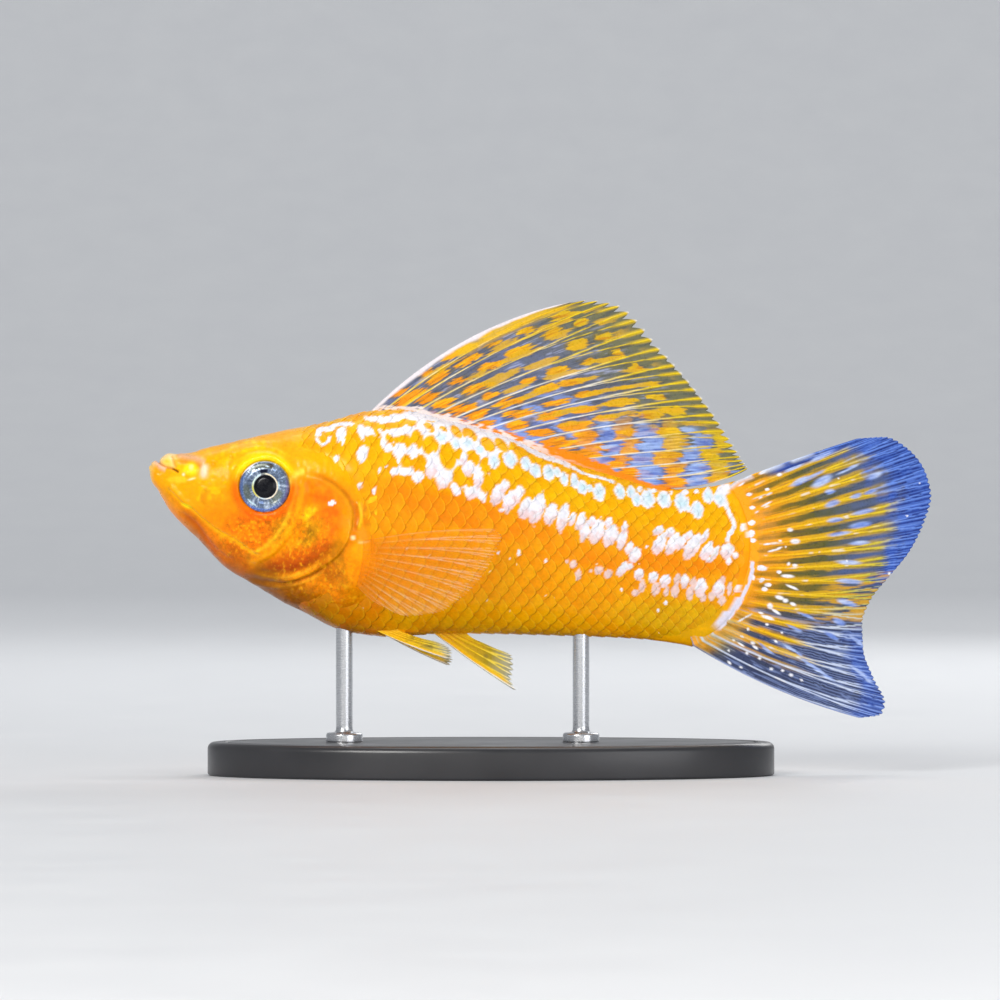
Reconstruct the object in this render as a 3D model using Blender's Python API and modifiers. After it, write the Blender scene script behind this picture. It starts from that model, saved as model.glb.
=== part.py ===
"""A male sailfin molly, orange with white flecks, as a life-size display model on a plain stand.

The named sizes are in millimetres. The fish faces -X with its nose a little up, +Z is up,
and the origin is under the middle of the fish, on the plane that the stand's base rests on.
"""

import math

import bmesh
import bpy
from mathutils import Matrix, Vector

MM = 0.001
GAP = 0.3  # clearance kept between neighbouring pieces
THROUGH = 30.0  # depth of a cutter that passes from side to side

# Body outline, as (distance along the fish, height) or (distance along the fish, size).
SNOUT_X = -46.9
BODY_END_X = 27.2
BACK = [
    (SNOUT_X, 37.1), (-46.2, 37.5), (-45.75, 37.5), (-45.3, 38.1), (-44.5, 38.5), (-42.7, 38.5),
    (-36.1, 40.2), (-25.6, 42.5), (-20.4, 43.8), (-16.8, 44.0), (-12.2, 43.0), (-5.0, 41.1),
    (1.7, 38.3), (8.6, 36.2), (16.5, 34.4), (20.9, 34.8), (BODY_END_X, 36.4),
]
BELLY = [
    (SNOUT_X, 36.6), (-46.3, 35.0), (-44.4, 31.6), (-41.0, 28.3), (-35.0, 23.3), (-29.0, 19.7),
    (-23.0, 17.0), (-18.0, 16.5), (-11.3, 16.9), (9.5, 16.4), (16.7, 15.7), (20.9, 14.4),
    (BODY_END_X, 11.0),
]
HALF_WIDTH = [
    (SNOUT_X, 1.3), (-46.3, 2.1), (-44.8, 2.9), (-41.5, 4.0), (-36.0, 5.2), (-30.0, 6.2),
    (-23.0, 6.9), (-16.0, 6.9), (-5.0, 6.0), (3.0, 4.8), (10.0, 3.6), (18.0, 2.2),
    (24.0, 1.15), (BODY_END_X, 0.8),
]
WIDEST_DOWN = [(SNOUT_X, 0.5), (-40.0, 0.42), (-20.0, 0.42), (10.0, 0.46), (BODY_END_X, 0.5)]
BACK_ROUNDNESS = [(SNOUT_X, 2.2), (-38.0, 2.7), (-28.0, 2.5), (-15.0, 2.0), (BODY_END_X, 2.0)]
BELLY_ROUNDNESS = [(SNOUT_X, 2.2), (-40.0, 2.0), (-30.0, 1.85), (-18.0, 2.0), (BODY_END_X, 2.0)]
RING_RUNS = [(SNOUT_X, -44.2, 6), (-44.2, -21.0, 20), (-21.0, 12.0, 12), (12.0, BODY_END_X, 8)]
RING_POINTS = 32

# Eyes, nostrils and mouth.
EYE_AT = (-33.2, 34.6)
EYE_RADIUS = 2.95
EYE_BULGE = 0.95
EYE_DEPTH = 2.3
EYE_SUNK = 0.1
EYE_FOLLOWS = 0.8  # share of the head's own slope that an eye's face follows
EYE_RIM, EYE_RIM_AWAY, EYE_RIM_SPREAD = 0.28, 0.55, 0.6
NOSTRIL_DEPTH = 0.5
NOSTRILS = [(-39.2, 37.2, 0.42), (-37.0, 38.1, 0.34)]
MOUTH_LINE = [(-48.0, 38.2), (-46.6, 37.65), (-45.75, 37.35), (-44.6, 36.7), (-43.1, 36.0), (-40.7, 35.2)]
JAW_ARC_AT = (-45.4, 34.9)
JAW_ARC_RADIUS = 4.6
LIP_SWELL, LIP_SPREAD = 0.22, 0.9

# Gill covers: what lies inside the round of the cover and outside the round of the cheek.
GILL_ROUND_AT, GILL_ROUND = (-30.1, 30.2), 7.3
CHEEK_ROUND_AT, CHEEK_ROUND = (-37.4, 34.3), 9.0
GILL_PROUD = 0.2
GILL_THICK = 1.0
POCKET_OUT = 2.5  # how far the cover's pocket is cut out past the skin

# Cuts between head, trunk, tail stalk and tail fin.
NAPE_AT = (-26.0, 47.0)
THROAT_AT = (-30.0, 17.0)
GILL_EDGE_FROM, GILL_EDGE_TO = 20.0, -52.0
TAIL_CUT = [(14.6, 38.0), (13.2, 33.0), (11.8, 26.0), (11.4, 20.0), (11.8, 12.0)]
TAIL_ROUND_AT, TAIL_ROUND = (13.4, 27.4), 12.65
TAIL_ROOT_TOP, TAIL_ROOT_BOTTOM = 38.5, -68.0

# Fins. A ray's ridge and the membrane beside it, as full thicknesses.
MEMBRANE = 0.5
RIDGE = 0.85
RIDGE_TIP = 0.6
RIDGE_FOOT = 0.24  # share of the space between two rays that a ridge's foot takes

# Stand.
BASE_CENTRE_X = -6.0
BASE_LENGTH, BASE_WIDTH, BASE_HEIGHT = 68.0, 36.0, 4.0
BASE_EDGE = 0.8
ROD_RADIUS = 1.0
ROD_FOOT_RADIUS, ROD_FOOT_HEIGHT = 2.2, 0.8
ROD_IN_BASE, ROD_IN_BODY = 2.0, 2.6
ROD_CHAMFER, ROD_FOOT_CHAMFER = 0.2, 0.3
HOLE_OVERSHOOT = 2.0
ROD_FRONT_X, ROD_REAR_X = -23.6, 4.8

COLOURS = {
    "flesh": ((0.95, 0.42, 0.03), 0.35, 0.0),
    "eye": ((0.16, 0.22, 0.34), 0.1, 0.0),
    "clear_fin": ((0.62, 0.6, 0.45), 0.3, 0.0),
    "orange_fin": ((0.95, 0.5, 0.12), 0.3, 0.0),
    "stand": ((0.03, 0.03, 0.035), 0.45, 0.0),
    "rod": ((0.75, 0.76, 0.78), 0.25, 1.0),
}


# Reading the named sizes

def smooth(points):
    """A function through (position, value) pairs that is smooth and never overshoots them."""
    at = [p[0] for p in points]
    value = [p[1] for p in points]
    steps = [(value[i + 1] - value[i]) / (at[i + 1] - at[i]) for i in range(len(at) - 1)]
    slopes = [steps[0]]
    for before, after in zip(steps, steps[1:]):
        slopes.append(0.0 if before * after <= 0 else 2 * before * after / (before + after))
    slopes.append(steps[-1])

    def read(x):
        x = min(max(x, at[0]), at[-1])
        i = max(k for k in range(len(at) - 1) if at[k] <= x)
        width = at[i + 1] - at[i]
        t = (x - at[i]) / width
        return (
            value[i] * (1 + 2 * t) * (1 - t) ** 2
            + slopes[i] * width * t * (1 - t) ** 2
            + value[i + 1] * t * t * (3 - 2 * t)
            + slopes[i + 1] * width * t * t * (t - 1)
        )

    return read


back_height = smooth(BACK)
belly_height = smooth(BELLY)
half_width = smooth(HALF_WIDTH)
widest_down = smooth(WIDEST_DOWN)
back_roundness = smooth(BACK_ROUNDNESS)
belly_roundness = smooth(BELLY_ROUNDNESS)


def section(x, grow=0.0):
    """The body's cross-section at x: top, widest height, bottom, half width and the two roundnesses."""
    top = back_height(x) + grow
    bottom = belly_height(x) - grow
    middle = top - widest_down(x) * (top - bottom)
    return top, middle, bottom, half_width(x) + grow, back_roundness(x), belly_roundness(x)


def flank(x, z):
    """How far the body's side is from the midplane at that place."""
    top, middle, bottom, width, above, below = section(x)
    reach, power = (top - middle, above) if z >= middle else (middle - bottom, below)
    share = min(abs(z - middle) / reach, 1.0)
    return width * (1 - share**power) ** (1 / power)


def distance_to_line(point, line):
    """The least distance from a point to a chain of points."""
    least = 1e9
    for a, b in zip(line, line[1:]):
        a, b, p = Vector(a), Vector(b), Vector(point)
        along = max(0.0, min(1.0, (p - a).dot(b - a) / (b - a).length_squared))
        least = min(least, (p - a.lerp(b, along)).length)
    return least


def relief(x, z):
    """How far the side stands out round the eye and along the lips."""
    from_rim = math.dist((x, z), EYE_AT) - EYE_RADIUS - EYE_RIM_AWAY
    rim = EYE_RIM * math.exp(-((from_rim / EYE_RIM_SPREAD) ** 2))
    from_mouth = distance_to_line((x, z), MOUTH_LINE)
    lips = LIP_SWELL * math.exp(-((from_mouth / LIP_SPREAD) ** 2))
    return rim + lips


# Making and joining meshes

def new_object(name, mesh, collection):
    obj = bpy.data.objects.new(name, mesh)
    collection.objects.link(obj)
    return obj


def mesh_from(build):
    """A mesh from a function that fills a bmesh."""
    bm = bmesh.new()
    build(bm)
    mesh = bpy.data.meshes.new("mesh")
    bm.to_mesh(mesh)
    bm.free()
    return mesh


def remove(obj):
    bpy.data.objects.remove(obj)


def bake(obj):
    """Applies the object's modifiers."""
    graph = bpy.context.evaluated_depsgraph_get()
    mesh = bpy.data.meshes.new_from_object(obj.evaluated_get(graph))
    obj.modifiers.clear()
    obj.data = mesh


def boolean(obj, cutter, operation="DIFFERENCE", keep=False):
    """Cuts or intersects obj with the cutter, which is then removed unless it is kept."""
    modifier = obj.modifiers.new("boolean", "BOOLEAN")
    modifier.operation = operation
    modifier.object = cutter
    bake(obj)
    if not keep:
        remove(cutter)


def islands(mesh):
    """The sets of vertex numbers of a mesh's separate pieces."""
    neighbours = {v.index: [] for v in mesh.vertices}
    for edge in mesh.edges:
        a, b = edge.vertices
        neighbours[a].append(b)
        neighbours[b].append(a)
    left, found = set(neighbours), []
    while left:
        front = [left.pop()]
        piece = set(front)
        while front:
            for n in neighbours[front.pop()]:
                if n in left:
                    left.discard(n)
                    piece.add(n)
                    front.append(n)
        found.append(piece)
    return found


def keep_piece(obj, piece):
    """Leaves only the given vertices of the object's mesh."""
    bm = bmesh.new()
    bm.from_mesh(obj.data)
    bmesh.ops.delete(bm, geom=[v for v in bm.verts if v.index not in piece], context="VERTS")
    bm.to_mesh(obj.data)
    bm.free()


def keep_largest(obj):
    keep_piece(obj, max(islands(obj.data), key=len))


def finish(obj, material, sharp_degrees=35):
    obj.data.shade_smooth()
    obj.data.set_sharp_from_angle(angle=math.radians(sharp_degrees))
    obj.data.materials.clear()
    obj.data.materials.append(material)
    return obj


def material(name):
    colour, roughness, metallic = COLOURS[name]
    made = bpy.data.materials.new(name)
    made.use_nodes = True
    shader = made.node_tree.nodes["Principled BSDF"]
    shader.inputs["Base Color"].default_value = (*colour, 1.0)
    shader.inputs["Roughness"].default_value = roughness
    shader.inputs["Metallic"].default_value = metallic
    return made


def mirrored(obj, name, collection):
    """A copy of the object on the other side of the midplane, facing out."""
    mesh = obj.data.copy()
    mesh.transform(Matrix.Scale(-1, 4, Vector((0, 1, 0))))
    mesh.flip_normals()
    return new_object(name, mesh, collection)


# Cutters

def prism(outline, helpers):
    """A closed outline in the XZ plane, carried through from side to side."""
    curve = bpy.data.curves.new("outline", "CURVE")
    curve.dimensions = "2D"
    curve.fill_mode = "BOTH"
    curve.extrude = THROUGH / 2 * MM
    spline = curve.splines.new("POLY")
    spline.points.add(len(outline) - 1)
    for point, (x, z) in zip(spline.points, outline):
        point.co = (x * MM, z * MM, 0, 1)
    spline.use_cyclic_u = True
    drawn = new_object("outline", curve, helpers)
    graph = bpy.context.evaluated_depsgraph_get()
    mesh = bpy.data.meshes.new_from_object(drawn.evaluated_get(graph))
    remove(drawn)
    bm = bmesh.new()
    bm.from_mesh(mesh)
    bmesh.ops.remove_doubles(bm, verts=bm.verts, dist=1e-6)
    bmesh.ops.rotate(bm, verts=bm.verts, matrix=Matrix.Rotation(math.radians(90), 3, "X"))
    bmesh.ops.recalc_face_normals(bm, faces=bm.faces)
    bm.to_mesh(mesh)
    bm.free()
    return new_object("prism", mesh, helpers)


def arc(centre, radius, start, end, steps):
    """Points on an arc in the XZ plane, from the start angle to the end angle, in degrees."""
    angles = [math.radians(start + (end - start) * i / steps) for i in range(steps + 1)]
    return [(centre[0] + radius * math.cos(a), centre[1] + radius * math.sin(a)) for a in angles]


def band(path, helpers):
    """A thin cutter along a path in the XZ plane, as wide as the clearance."""
    left, right = [], []
    for i, point in enumerate(path):
        before = Vector(path[max(i - 1, 0)])
        after = Vector(path[min(i + 1, len(path) - 1)])
        along = (after - before).normalized()
        across = Vector((-along.y, along.x)) * GAP / 2
        left.append(tuple(Vector(point) + across))
        right.append(tuple(Vector(point) - across))
    return prism(left + right[::-1], helpers)


def disc_through(centre, radius, helpers):
    """A round cutter that runs from side to side."""

    def build(bm):
        bmesh.ops.create_cone(
            bm, cap_ends=True, segments=40, radius1=radius * MM, radius2=radius * MM,
            depth=THROUGH * MM,
        )
        bmesh.ops.rotate(bm, verts=bm.verts, matrix=Matrix.Rotation(math.radians(90), 3, "X"))
        bmesh.ops.translate(bm, verts=bm.verts, vec=(centre[0] * MM, 0, centre[1] * MM))

    return new_object("disc", mesh_from(build), helpers)


# The body

def body(name, collection, grow=0.0):
    """The whole body as one loft from snout to tail, grown on every side by the given amount."""
    stations = [
        start + (end - start) * i / count for start, end, count in RING_RUNS for i in range(count)
    ] + [BODY_END_X]

    def build(bm):
        rings = []
        for number, x in enumerate(stations):
            top, middle, bottom, width, above, below = section(x, grow)
            shift = {0: -grow, len(stations) - 1: grow}.get(number, 0.0)
            ring = []
            for k in range(RING_POINTS):
                angle = 2 * math.pi * k / RING_POINTS
                up, out = math.cos(angle), math.sin(angle)
                power, reach = (above, top - middle) if up >= 0 else (below, middle - bottom)
                z = middle + reach * math.copysign(abs(up) ** (2 / power), up)
                y = width * abs(out) ** (2 / power) + relief(x, z) * abs(out)
                ring.append(bm.verts.new(((x + shift) * MM, math.copysign(y, out) * MM, z * MM)))
            rings.append(ring)
        for ring, following in zip(rings, rings[1:]):
            for k in range(RING_POINTS):
                j = (k + 1) % RING_POINTS
                bm.faces.new((ring[k], following[k], following[j], ring[j]))
        bm.faces.new(rings[0])
        bm.faces.new(rings[-1][::-1])
        bmesh.ops.recalc_face_normals(bm, faces=bm.faces)
        bmesh.ops.triangulate(bm, faces=bm.faces)

    return new_object(name, mesh_from(build), collection)


def gill_edge():
    """The line where the head ends: down the nape, round the gill cover and on to the throat."""
    round_the_cover = arc(
        GILL_ROUND_AT, GILL_ROUND + GAP / 2, GILL_EDGE_FROM, GILL_EDGE_TO, 12
    )
    return [NAPE_AT, *round_the_cover, THROAT_AT]


def side_shell(outward, inward, helpers):
    """A shell that follows the left side round the gill cover, between two depths."""
    cells = 11
    reach = GILL_ROUND + 3 * GAP
    low_x, low_z = GILL_ROUND_AT[0] - reach, GILL_ROUND_AT[1] - reach

    def build(bm):
        grid = []
        for i in range(cells + 1):
            x = low_x + 2 * reach * i / cells
            column = []
            for j in range(cells + 1):
                z = low_z + 2 * reach * j / cells
                column.append(bm.verts.new((x * MM, -flank(x, z) * MM, z * MM)))
            grid.append(column)
        for a, b in zip(grid, grid[1:]):
            for j in range(cells):
                bm.faces.new((a[j], b[j], b[j + 1], a[j + 1]))
        bmesh.ops.triangulate(bm, faces=bm.faces)

    shell = new_object("shell", mesh_from(build), helpers)
    solid = shell.modifiers.new("solid", "SOLIDIFY")
    solid.thickness = (outward + inward) * MM
    solid.offset = (outward - inward) / (outward + inward)
    bake(shell)
    return shell


def gill_blank(outward, inward, grow, helpers):
    """The gill cover's shape on the left side, grown at its rim by the given amount."""
    blank = side_shell(outward, inward, helpers)
    boolean(blank, disc_through(GILL_ROUND_AT, GILL_ROUND + grow, helpers), "INTERSECT")
    boolean(blank, disc_through(CHEEK_ROUND_AT, CHEEK_ROUND - grow, helpers))
    keep_largest(blank)
    return blank


def ellipsoid(name, centre, front, back, radius, grow, collection, segments=18, rings=10):
    """A round lens whose outer and inner halves have their own depths, on the left side."""

    def build(bm):
        bmesh.ops.create_uvsphere(bm, u_segments=segments, v_segments=rings, radius=1.0)
        for v in bm.verts:
            depth = (front if v.co.z > 0 else back) + grow
            flat = radius + grow
            v.co = Vector((v.co.x * flat, -v.co.z * depth, v.co.y * flat)) * MM

    obj = new_object(name, mesh_from(build), collection)
    x, y, z = centre
    widening = (flank(x + 2, z) - flank(x - 2, z)) / 4
    rising = (flank(x, z + 1.5) - flank(x, z - 1.5)) / 3
    facing = Vector((-EYE_FOLLOWS * widening, -1.0, -EYE_FOLLOWS * rising))
    turn = Vector((0, -1, 0)).rotation_difference(facing).to_matrix().to_4x4()
    obj.data.transform(Matrix.Translation(Vector((x, y, z)) * MM) @ turn)
    return obj


def eye_centre():
    """The eye's middle, a little under the skin, on the left side."""
    x, z = EYE_AT
    return (x, -(flank(x, z) - EYE_SUNK), z)


# Fins

def bezier(a, b, c, t):
    return tuple(p * (1 - t) ** 2 + 2 * q * t * (1 - t) + r * t * t for p, q, r in zip(a, b, c))


def along_chain(points):
    """A function from 0 to 1 that runs along a smooth line through the points at an even pace."""
    lengths = [0.0]
    for a, b in zip(points, points[1:]):
        lengths.append(lengths[-1] + math.dist(a, b))
    reads = [smooth([(s / lengths[-1], p[k]) for s, p in zip(lengths, points)]) for k in range(2)]
    return lambda t: (reads[0](t), reads[1](t))


def ray_columns(rays, notch):
    """Columns of points across a fin: each ray's crest, and the foot of its ridge on each side.

    Each entry is (points from root to tip, share of the ridge's height). The membrane between
    two rays ends short of their tips by the notch.
    """
    columns = []
    for number, ray in enumerate(rays):
        columns.append((ray, 1.0))
        if number + 1 == len(rays):
            break
        following = rays[number + 1]
        for share in (RIDGE_FOOT, 1 - RIDGE_FOOT):
            points = []
            for a, b in zip(ray, following):
                points.append(tuple(p + (q - p) * share for p, q in zip(a, b)))
            inner, tip = points[-2], points[-1]
            back = notch / math.dist(inner, tip)
            points[-1] = tuple(q + (p - q) * back for p, q in zip(inner, tip))
            columns.append((points, 0.0))
    return columns


def fin(name, rays, side, collection, root_thick, root_share=0.3, notch=0.4, heavy=None):
    """A ridged sheet. side gives a point's distance from the midplane; heavy thickens a ray.

    The sheet is cut into triangles before it is thickened, so both faces are split alike.
    """
    columns = ray_columns(rays, notch)
    rows = len(rays[0])
    most = max(root_thick, RIDGE) + (max(heavy.values()) if heavy else 0.0)
    weights = []

    def build(bm):
        grid = []
        for number, (points, crest) in enumerate(columns):
            extra = (heavy or {}).get(number // 3, 0.0) if number % 3 == 0 else 0.0
            column = []
            for row, (x, z) in enumerate(points):
                t = row / (rows - 1)
                ridge = (RIDGE + (RIDGE_TIP - RIDGE) * t) if crest else MEMBRANE
                flesh = max(0.0, 1 - t / root_share) ** 1.5
                thick = ridge + (root_thick - ridge) * flesh + extra * (1 - 0.6 * t)
                weights.append(thick / most)
                column.append(bm.verts.new((x * MM, side(x, z) * MM, z * MM)))
            grid.append(column)
        for a, b in zip(grid, grid[1:]):
            for j in range(rows - 1):
                bm.faces.new((a[j], b[j], b[j + 1], a[j + 1]))
        bmesh.ops.triangulate(bm, faces=bm.faces)

    obj = new_object(name, mesh_from(build), collection)
    group = obj.vertex_groups.new(name="thickness")
    for number, weight in enumerate(weights):
        group.add([number], weight, "REPLACE")
    solid = obj.modifiers.new("solid", "SOLIDIFY")
    solid.thickness = most * MM
    solid.offset = 0.0
    solid.vertex_group = "thickness"
    bake(obj)
    obj.vertex_groups.clear()
    return obj


def trim(obj, grown_body):
    """Cuts a fin's sunk root off where the body, grown by the clearance, begins."""
    boolean(obj, grown_body, keep=True)
    keep_largest(obj)
    return obj


DORSAL_RAYS, DORSAL_ROWS = 15, 9
DORSAL_ROOT = (-20.3, 15.6)
DORSAL_MARGIN = [(3.2, 56.7), (5.6, 57.0), (8.8, 56.6), (14.5, 51.0), (20.3, 44.0), (24.9, 36.75)]
# Across the fin: how far the rays sweep back, as a share of root and margin, and their root angle.
DORSAL_SWEEP = smooth([(0, 0), (0.19, 0.055), (0.35, 0.09), (0.5, 0.115), (0.69, 0.135), (0.8, 0.12), (0.92, 0.06), (1, 0)])
DORSAL_LEAN = smooth([(0, 44), (0.19, 31), (0.35, 24), (0.5, 18), (0.69, 12), (0.8, 7), (0.92, 2), (1, 0)])
DORSAL_SUNK = 1.0


def dorsal_fin(collection):
    margin = along_chain(DORSAL_MARGIN)
    rays = []
    for i in range(DORSAL_RAYS):
        t = i / (DORSAL_RAYS - 1)
        sweep = DORSAL_SWEEP(t)
        root_x = DORSAL_ROOT[0] + (DORSAL_ROOT[1] - DORSAL_ROOT[0]) * (t - sweep)
        root = (root_x, back_height(root_x))
        tip = margin(t + sweep)
        lean = math.radians(DORSAL_LEAN(t))
        reach = math.dist(root, tip) * 0.55
        bend = (root[0] + reach * math.cos(lean), root[1] + reach * math.sin(lean))
        ray = [bezier(root, bend, tip, row / (DORSAL_ROWS - 1)) for row in range(DORSAL_ROWS)]
        sunk = (root[0] - DORSAL_SUNK * 0.6, root[1] - DORSAL_SUNK)
        rays.append([sunk, *ray])

    def side(x, z):
        above = max(0.0, z - 44.0) / 13.0
        return 0.9 * above * math.sin((x + 16.0) / 9.0)

    return fin("dorsal_fin", rays, side, collection, root_thick=1.3, root_share=0.28, notch=0.75)


TAIL_RAYS, TAIL_ROWS = 18, 9
TAIL_MARGIN = [
    (38.0, 40.4), (41.3, 40.6), (44.3, 39.0), (46.3, 36.0), (46.85, 33.4), (46.1, 30.6),
    (44.3, 27.0), (41.6, 23.6), (39.6, 21.0), (38.6, 18.2), (38.7, 15.2), (40.0, 11.6),
    (41.4, 8.6), (40.9, 7.2), (38.3, 6.8),
]
TAIL_BULGE_TOP, TAIL_BULGE_BOTTOM = 0.1, -0.8


def tail_fin(collection):
    margin = along_chain(TAIL_MARGIN)
    rays = []
    for i in range(TAIL_RAYS):
        t = i / (TAIL_RAYS - 1)
        angle = TAIL_ROOT_TOP + (TAIL_ROOT_BOTTOM - TAIL_ROOT_TOP) * t
        root = arc(TAIL_ROUND_AT, TAIL_ROUND + GAP / 2, angle, angle, 1)[0]
        tip = margin(t)
        bulge = TAIL_BULGE_TOP + (TAIL_BULGE_BOTTOM - TAIL_BULGE_TOP) * t
        along = (Vector(tip) - Vector(root)).normalized()
        across = Vector((-along.y, along.x)) * bulge * 2
        middle = tuple((Vector(root) + Vector(tip)) / 2 + across)
        rays.append([bezier(root, middle, tip, row / (TAIL_ROWS - 1)) for row in range(TAIL_ROWS)])

    def side(x, z):
        beyond = max(0.0, x - 24.0) / 22.0
        return 1.1 * beyond * math.sin(z / 6.5 + 0.6)

    return fin("tail_fin", rays, side, collection, root_thick=2.1, root_share=0.35, notch=0.35)


PECTORAL_RAYS, PECTORAL_ROWS = 11, 7
PECTORAL_ROOT = [(-22.4, 27.9), (-22.2, 25.6), (-22.3, 23.4)]
PECTORAL_MARGIN = [
    (-5.6, 29.6), (-4.7, 28.7), (-5.4, 26.9), (-6.8, 24.3), (-9.2, 21.6), (-12.2, 19.7),
    (-16.0, 19.2), (-19.2, 20.5),
]
PECTORAL_SUNK = 1.1
PECTORAL_BULGE = 1.0


def pectoral_fin(name, spread, collection):
    """The left pectoral fin. spread says how steeply it stands off the flank."""
    roots, margin = along_chain(PECTORAL_ROOT), along_chain(PECTORAL_MARGIN)
    rays = []
    for i in range(PECTORAL_RAYS):
        t = i / (PECTORAL_RAYS - 1)
        root, tip = roots(t), margin(t)
        along = (Vector(tip) - Vector(root)).normalized()
        across = Vector((-along.y, along.x)) * PECTORAL_BULGE * (1 - 1.6 * t)
        middle = tuple((Vector(root) + Vector(tip)) / 2 + across)
        rays.append(
            [bezier(root, middle, tip, row / (PECTORAL_ROWS - 1)) for row in range(PECTORAL_ROWS)]
        )
    root_side = flank(*PECTORAL_ROOT[1])

    def side(x, z):
        away = max(0.0, x - PECTORAL_ROOT[1][0])
        out = 2.6 * (1 - math.exp(-away / 2.2)) + spread * away
        return -(root_side - PECTORAL_SUNK + out + 0.012 * (z - 25.0) ** 2)

    return fin(name, rays, side, collection, root_thick=1.5, root_share=0.3, notch=0.25)


PELVIC_RAYS, PELVIC_ROWS = 5, 6
PELVIC_ROOT = [(-19.6, 17.3), (-17.0, 17.5)]
PELVIC_MARGIN = [(-11.0, 13.9), (-10.6, 14.7), (-11.2, 15.5), (-12.6, 16.1)]


def pelvic_fin(name, drop, splay, collection):
    """The left pelvic fin. drop lowers its tip, and splay turns it out to the side."""
    roots, margin = along_chain(PELVIC_ROOT), along_chain(PELVIC_MARGIN)
    rays = []
    for i in range(PELVIC_RAYS):
        t = i / (PELVIC_RAYS - 1)
        root = roots(t)
        tip = (margin(t)[0], margin(t)[1] - drop)
        middle = ((root[0] + tip[0]) / 2 - 0.2, (root[1] + tip[1]) / 2 - 0.35)
        rays.append(
            [bezier(root, middle, tip, row / (PELVIC_ROWS - 1)) for row in range(PELVIC_ROWS)]
        )

    def side(x, z):
        return -(1.5 + splay * max(0.0, x - PELVIC_ROOT[0][0]))

    return fin(name, rays, side, collection, root_thick=0.9, root_share=0.4, heavy={0: 0.15})


ANAL_ROWS = 7
ANAL_RAYS = [
    ((-13.6, 17.6), (-2.9, 10.0)), ((-12.7, 17.6), (-3.5, 11.5)), ((-11.9, 17.6), (-3.3, 12.7)),
    ((-11.1, 17.6), (-3.4, 14.2)), ((-10.3, 17.6), (-5.4, 15.2)), ((-9.5, 17.6), (-7.2, 16.0)),
]
ANAL_SAG = 0.5


def anal_fin(collection):
    """The male's anal fin: its front ray is the long, thick rod, with a short fan behind it."""
    rays = []
    for root, tip in ANAL_RAYS:
        middle = ((root[0] + tip[0]) / 2, (root[1] + tip[1]) / 2 - ANAL_SAG)
        rays.append([bezier(root, middle, tip, row / (ANAL_ROWS - 1)) for row in range(ANAL_ROWS)])
    return fin(
        "anal_fin", rays, lambda x, z: 0.0, collection, root_thick=0.9, root_share=0.3,
        heavy={0: 0.3},
    )


# The stand

def stand_base(collection, helpers):
    def build(bm):
        bmesh.ops.create_cone(
            bm, cap_ends=True, segments=44, radius1=0.5, radius2=0.5, depth=BASE_HEIGHT * MM
        )
        size = (BASE_LENGTH * MM, BASE_WIDTH * MM, 1.0)
        bmesh.ops.scale(bm, verts=bm.verts, vec=size)
        bmesh.ops.translate(bm, verts=bm.verts, vec=(BASE_CENTRE_X * MM, 0, BASE_HEIGHT * MM / 2))

    base = new_object("stand_base", mesh_from(build), collection)
    bevel = base.modifiers.new("edge", "BEVEL")
    bevel.width = BASE_EDGE * MM
    bevel.segments = 2
    bevel.limit_method = "ANGLE"
    bake(base)
    for x in (ROD_FRONT_X, ROD_REAR_X):
        floor = BASE_HEIGHT - ROD_IN_BASE - GAP
        boolean(base, rod_hole(x, floor, BASE_HEIGHT + HOLE_OVERSHOOT, helpers))
    return base


def rod_hole(x, low, high, helpers):
    """A cutter for the hole round a rod, wider than the rod by the clearance."""

    def build(bm):
        radius = (ROD_RADIUS + GAP) * MM
        bmesh.ops.create_cone(
            bm, cap_ends=True, segments=24, radius1=radius, radius2=radius, depth=(high - low) * MM
        )
        bmesh.ops.translate(bm, verts=bm.verts, vec=(x * MM, 0, (high + low) / 2 * MM))

    return new_object("rod_hole", mesh_from(build), helpers)


def rod_top(x):
    return belly_height(x) + ROD_IN_BODY


def stand_rod(name, x, collection):
    """A turned rod with a foot: its pin stands in the base, and its top in the body."""
    foot_low = BASE_HEIGHT + GAP
    foot_high = foot_low + ROD_FOOT_HEIGHT
    top = rod_top(x)
    profile = [
        (0.0, top), (ROD_RADIUS - ROD_CHAMFER, top), (ROD_RADIUS, top - ROD_CHAMFER),
        (ROD_RADIUS, foot_high), (ROD_FOOT_RADIUS - ROD_FOOT_CHAMFER, foot_high),
        (ROD_FOOT_RADIUS, foot_high - ROD_FOOT_CHAMFER), (ROD_FOOT_RADIUS, foot_low),
        (ROD_RADIUS, foot_low), (ROD_RADIUS, BASE_HEIGHT - ROD_IN_BASE),
        (0.0, BASE_HEIGHT - ROD_IN_BASE),
    ]

    def build(bm):
        verts = [bm.verts.new((r * MM, 0, z * MM)) for r, z in profile]
        for a, b in zip(verts, verts[1:]):
            bm.edges.new((a, b))

    rod = new_object(name, mesh_from(build), collection)
    rod.location.x = x * MM
    turned = rod.modifiers.new("turned", "SCREW")
    turned.steps = turned.render_steps = 18
    turned.use_merge_vertices = True
    turned.merge_threshold = 0.00001
    return rod


# Putting it together

def clear_scene():
    for obj in list(bpy.data.objects):
        bpy.data.objects.remove(obj)


def collection_named(name):
    made = bpy.data.collections.new(name)
    bpy.context.scene.collection.children.link(made)
    return made


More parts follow.
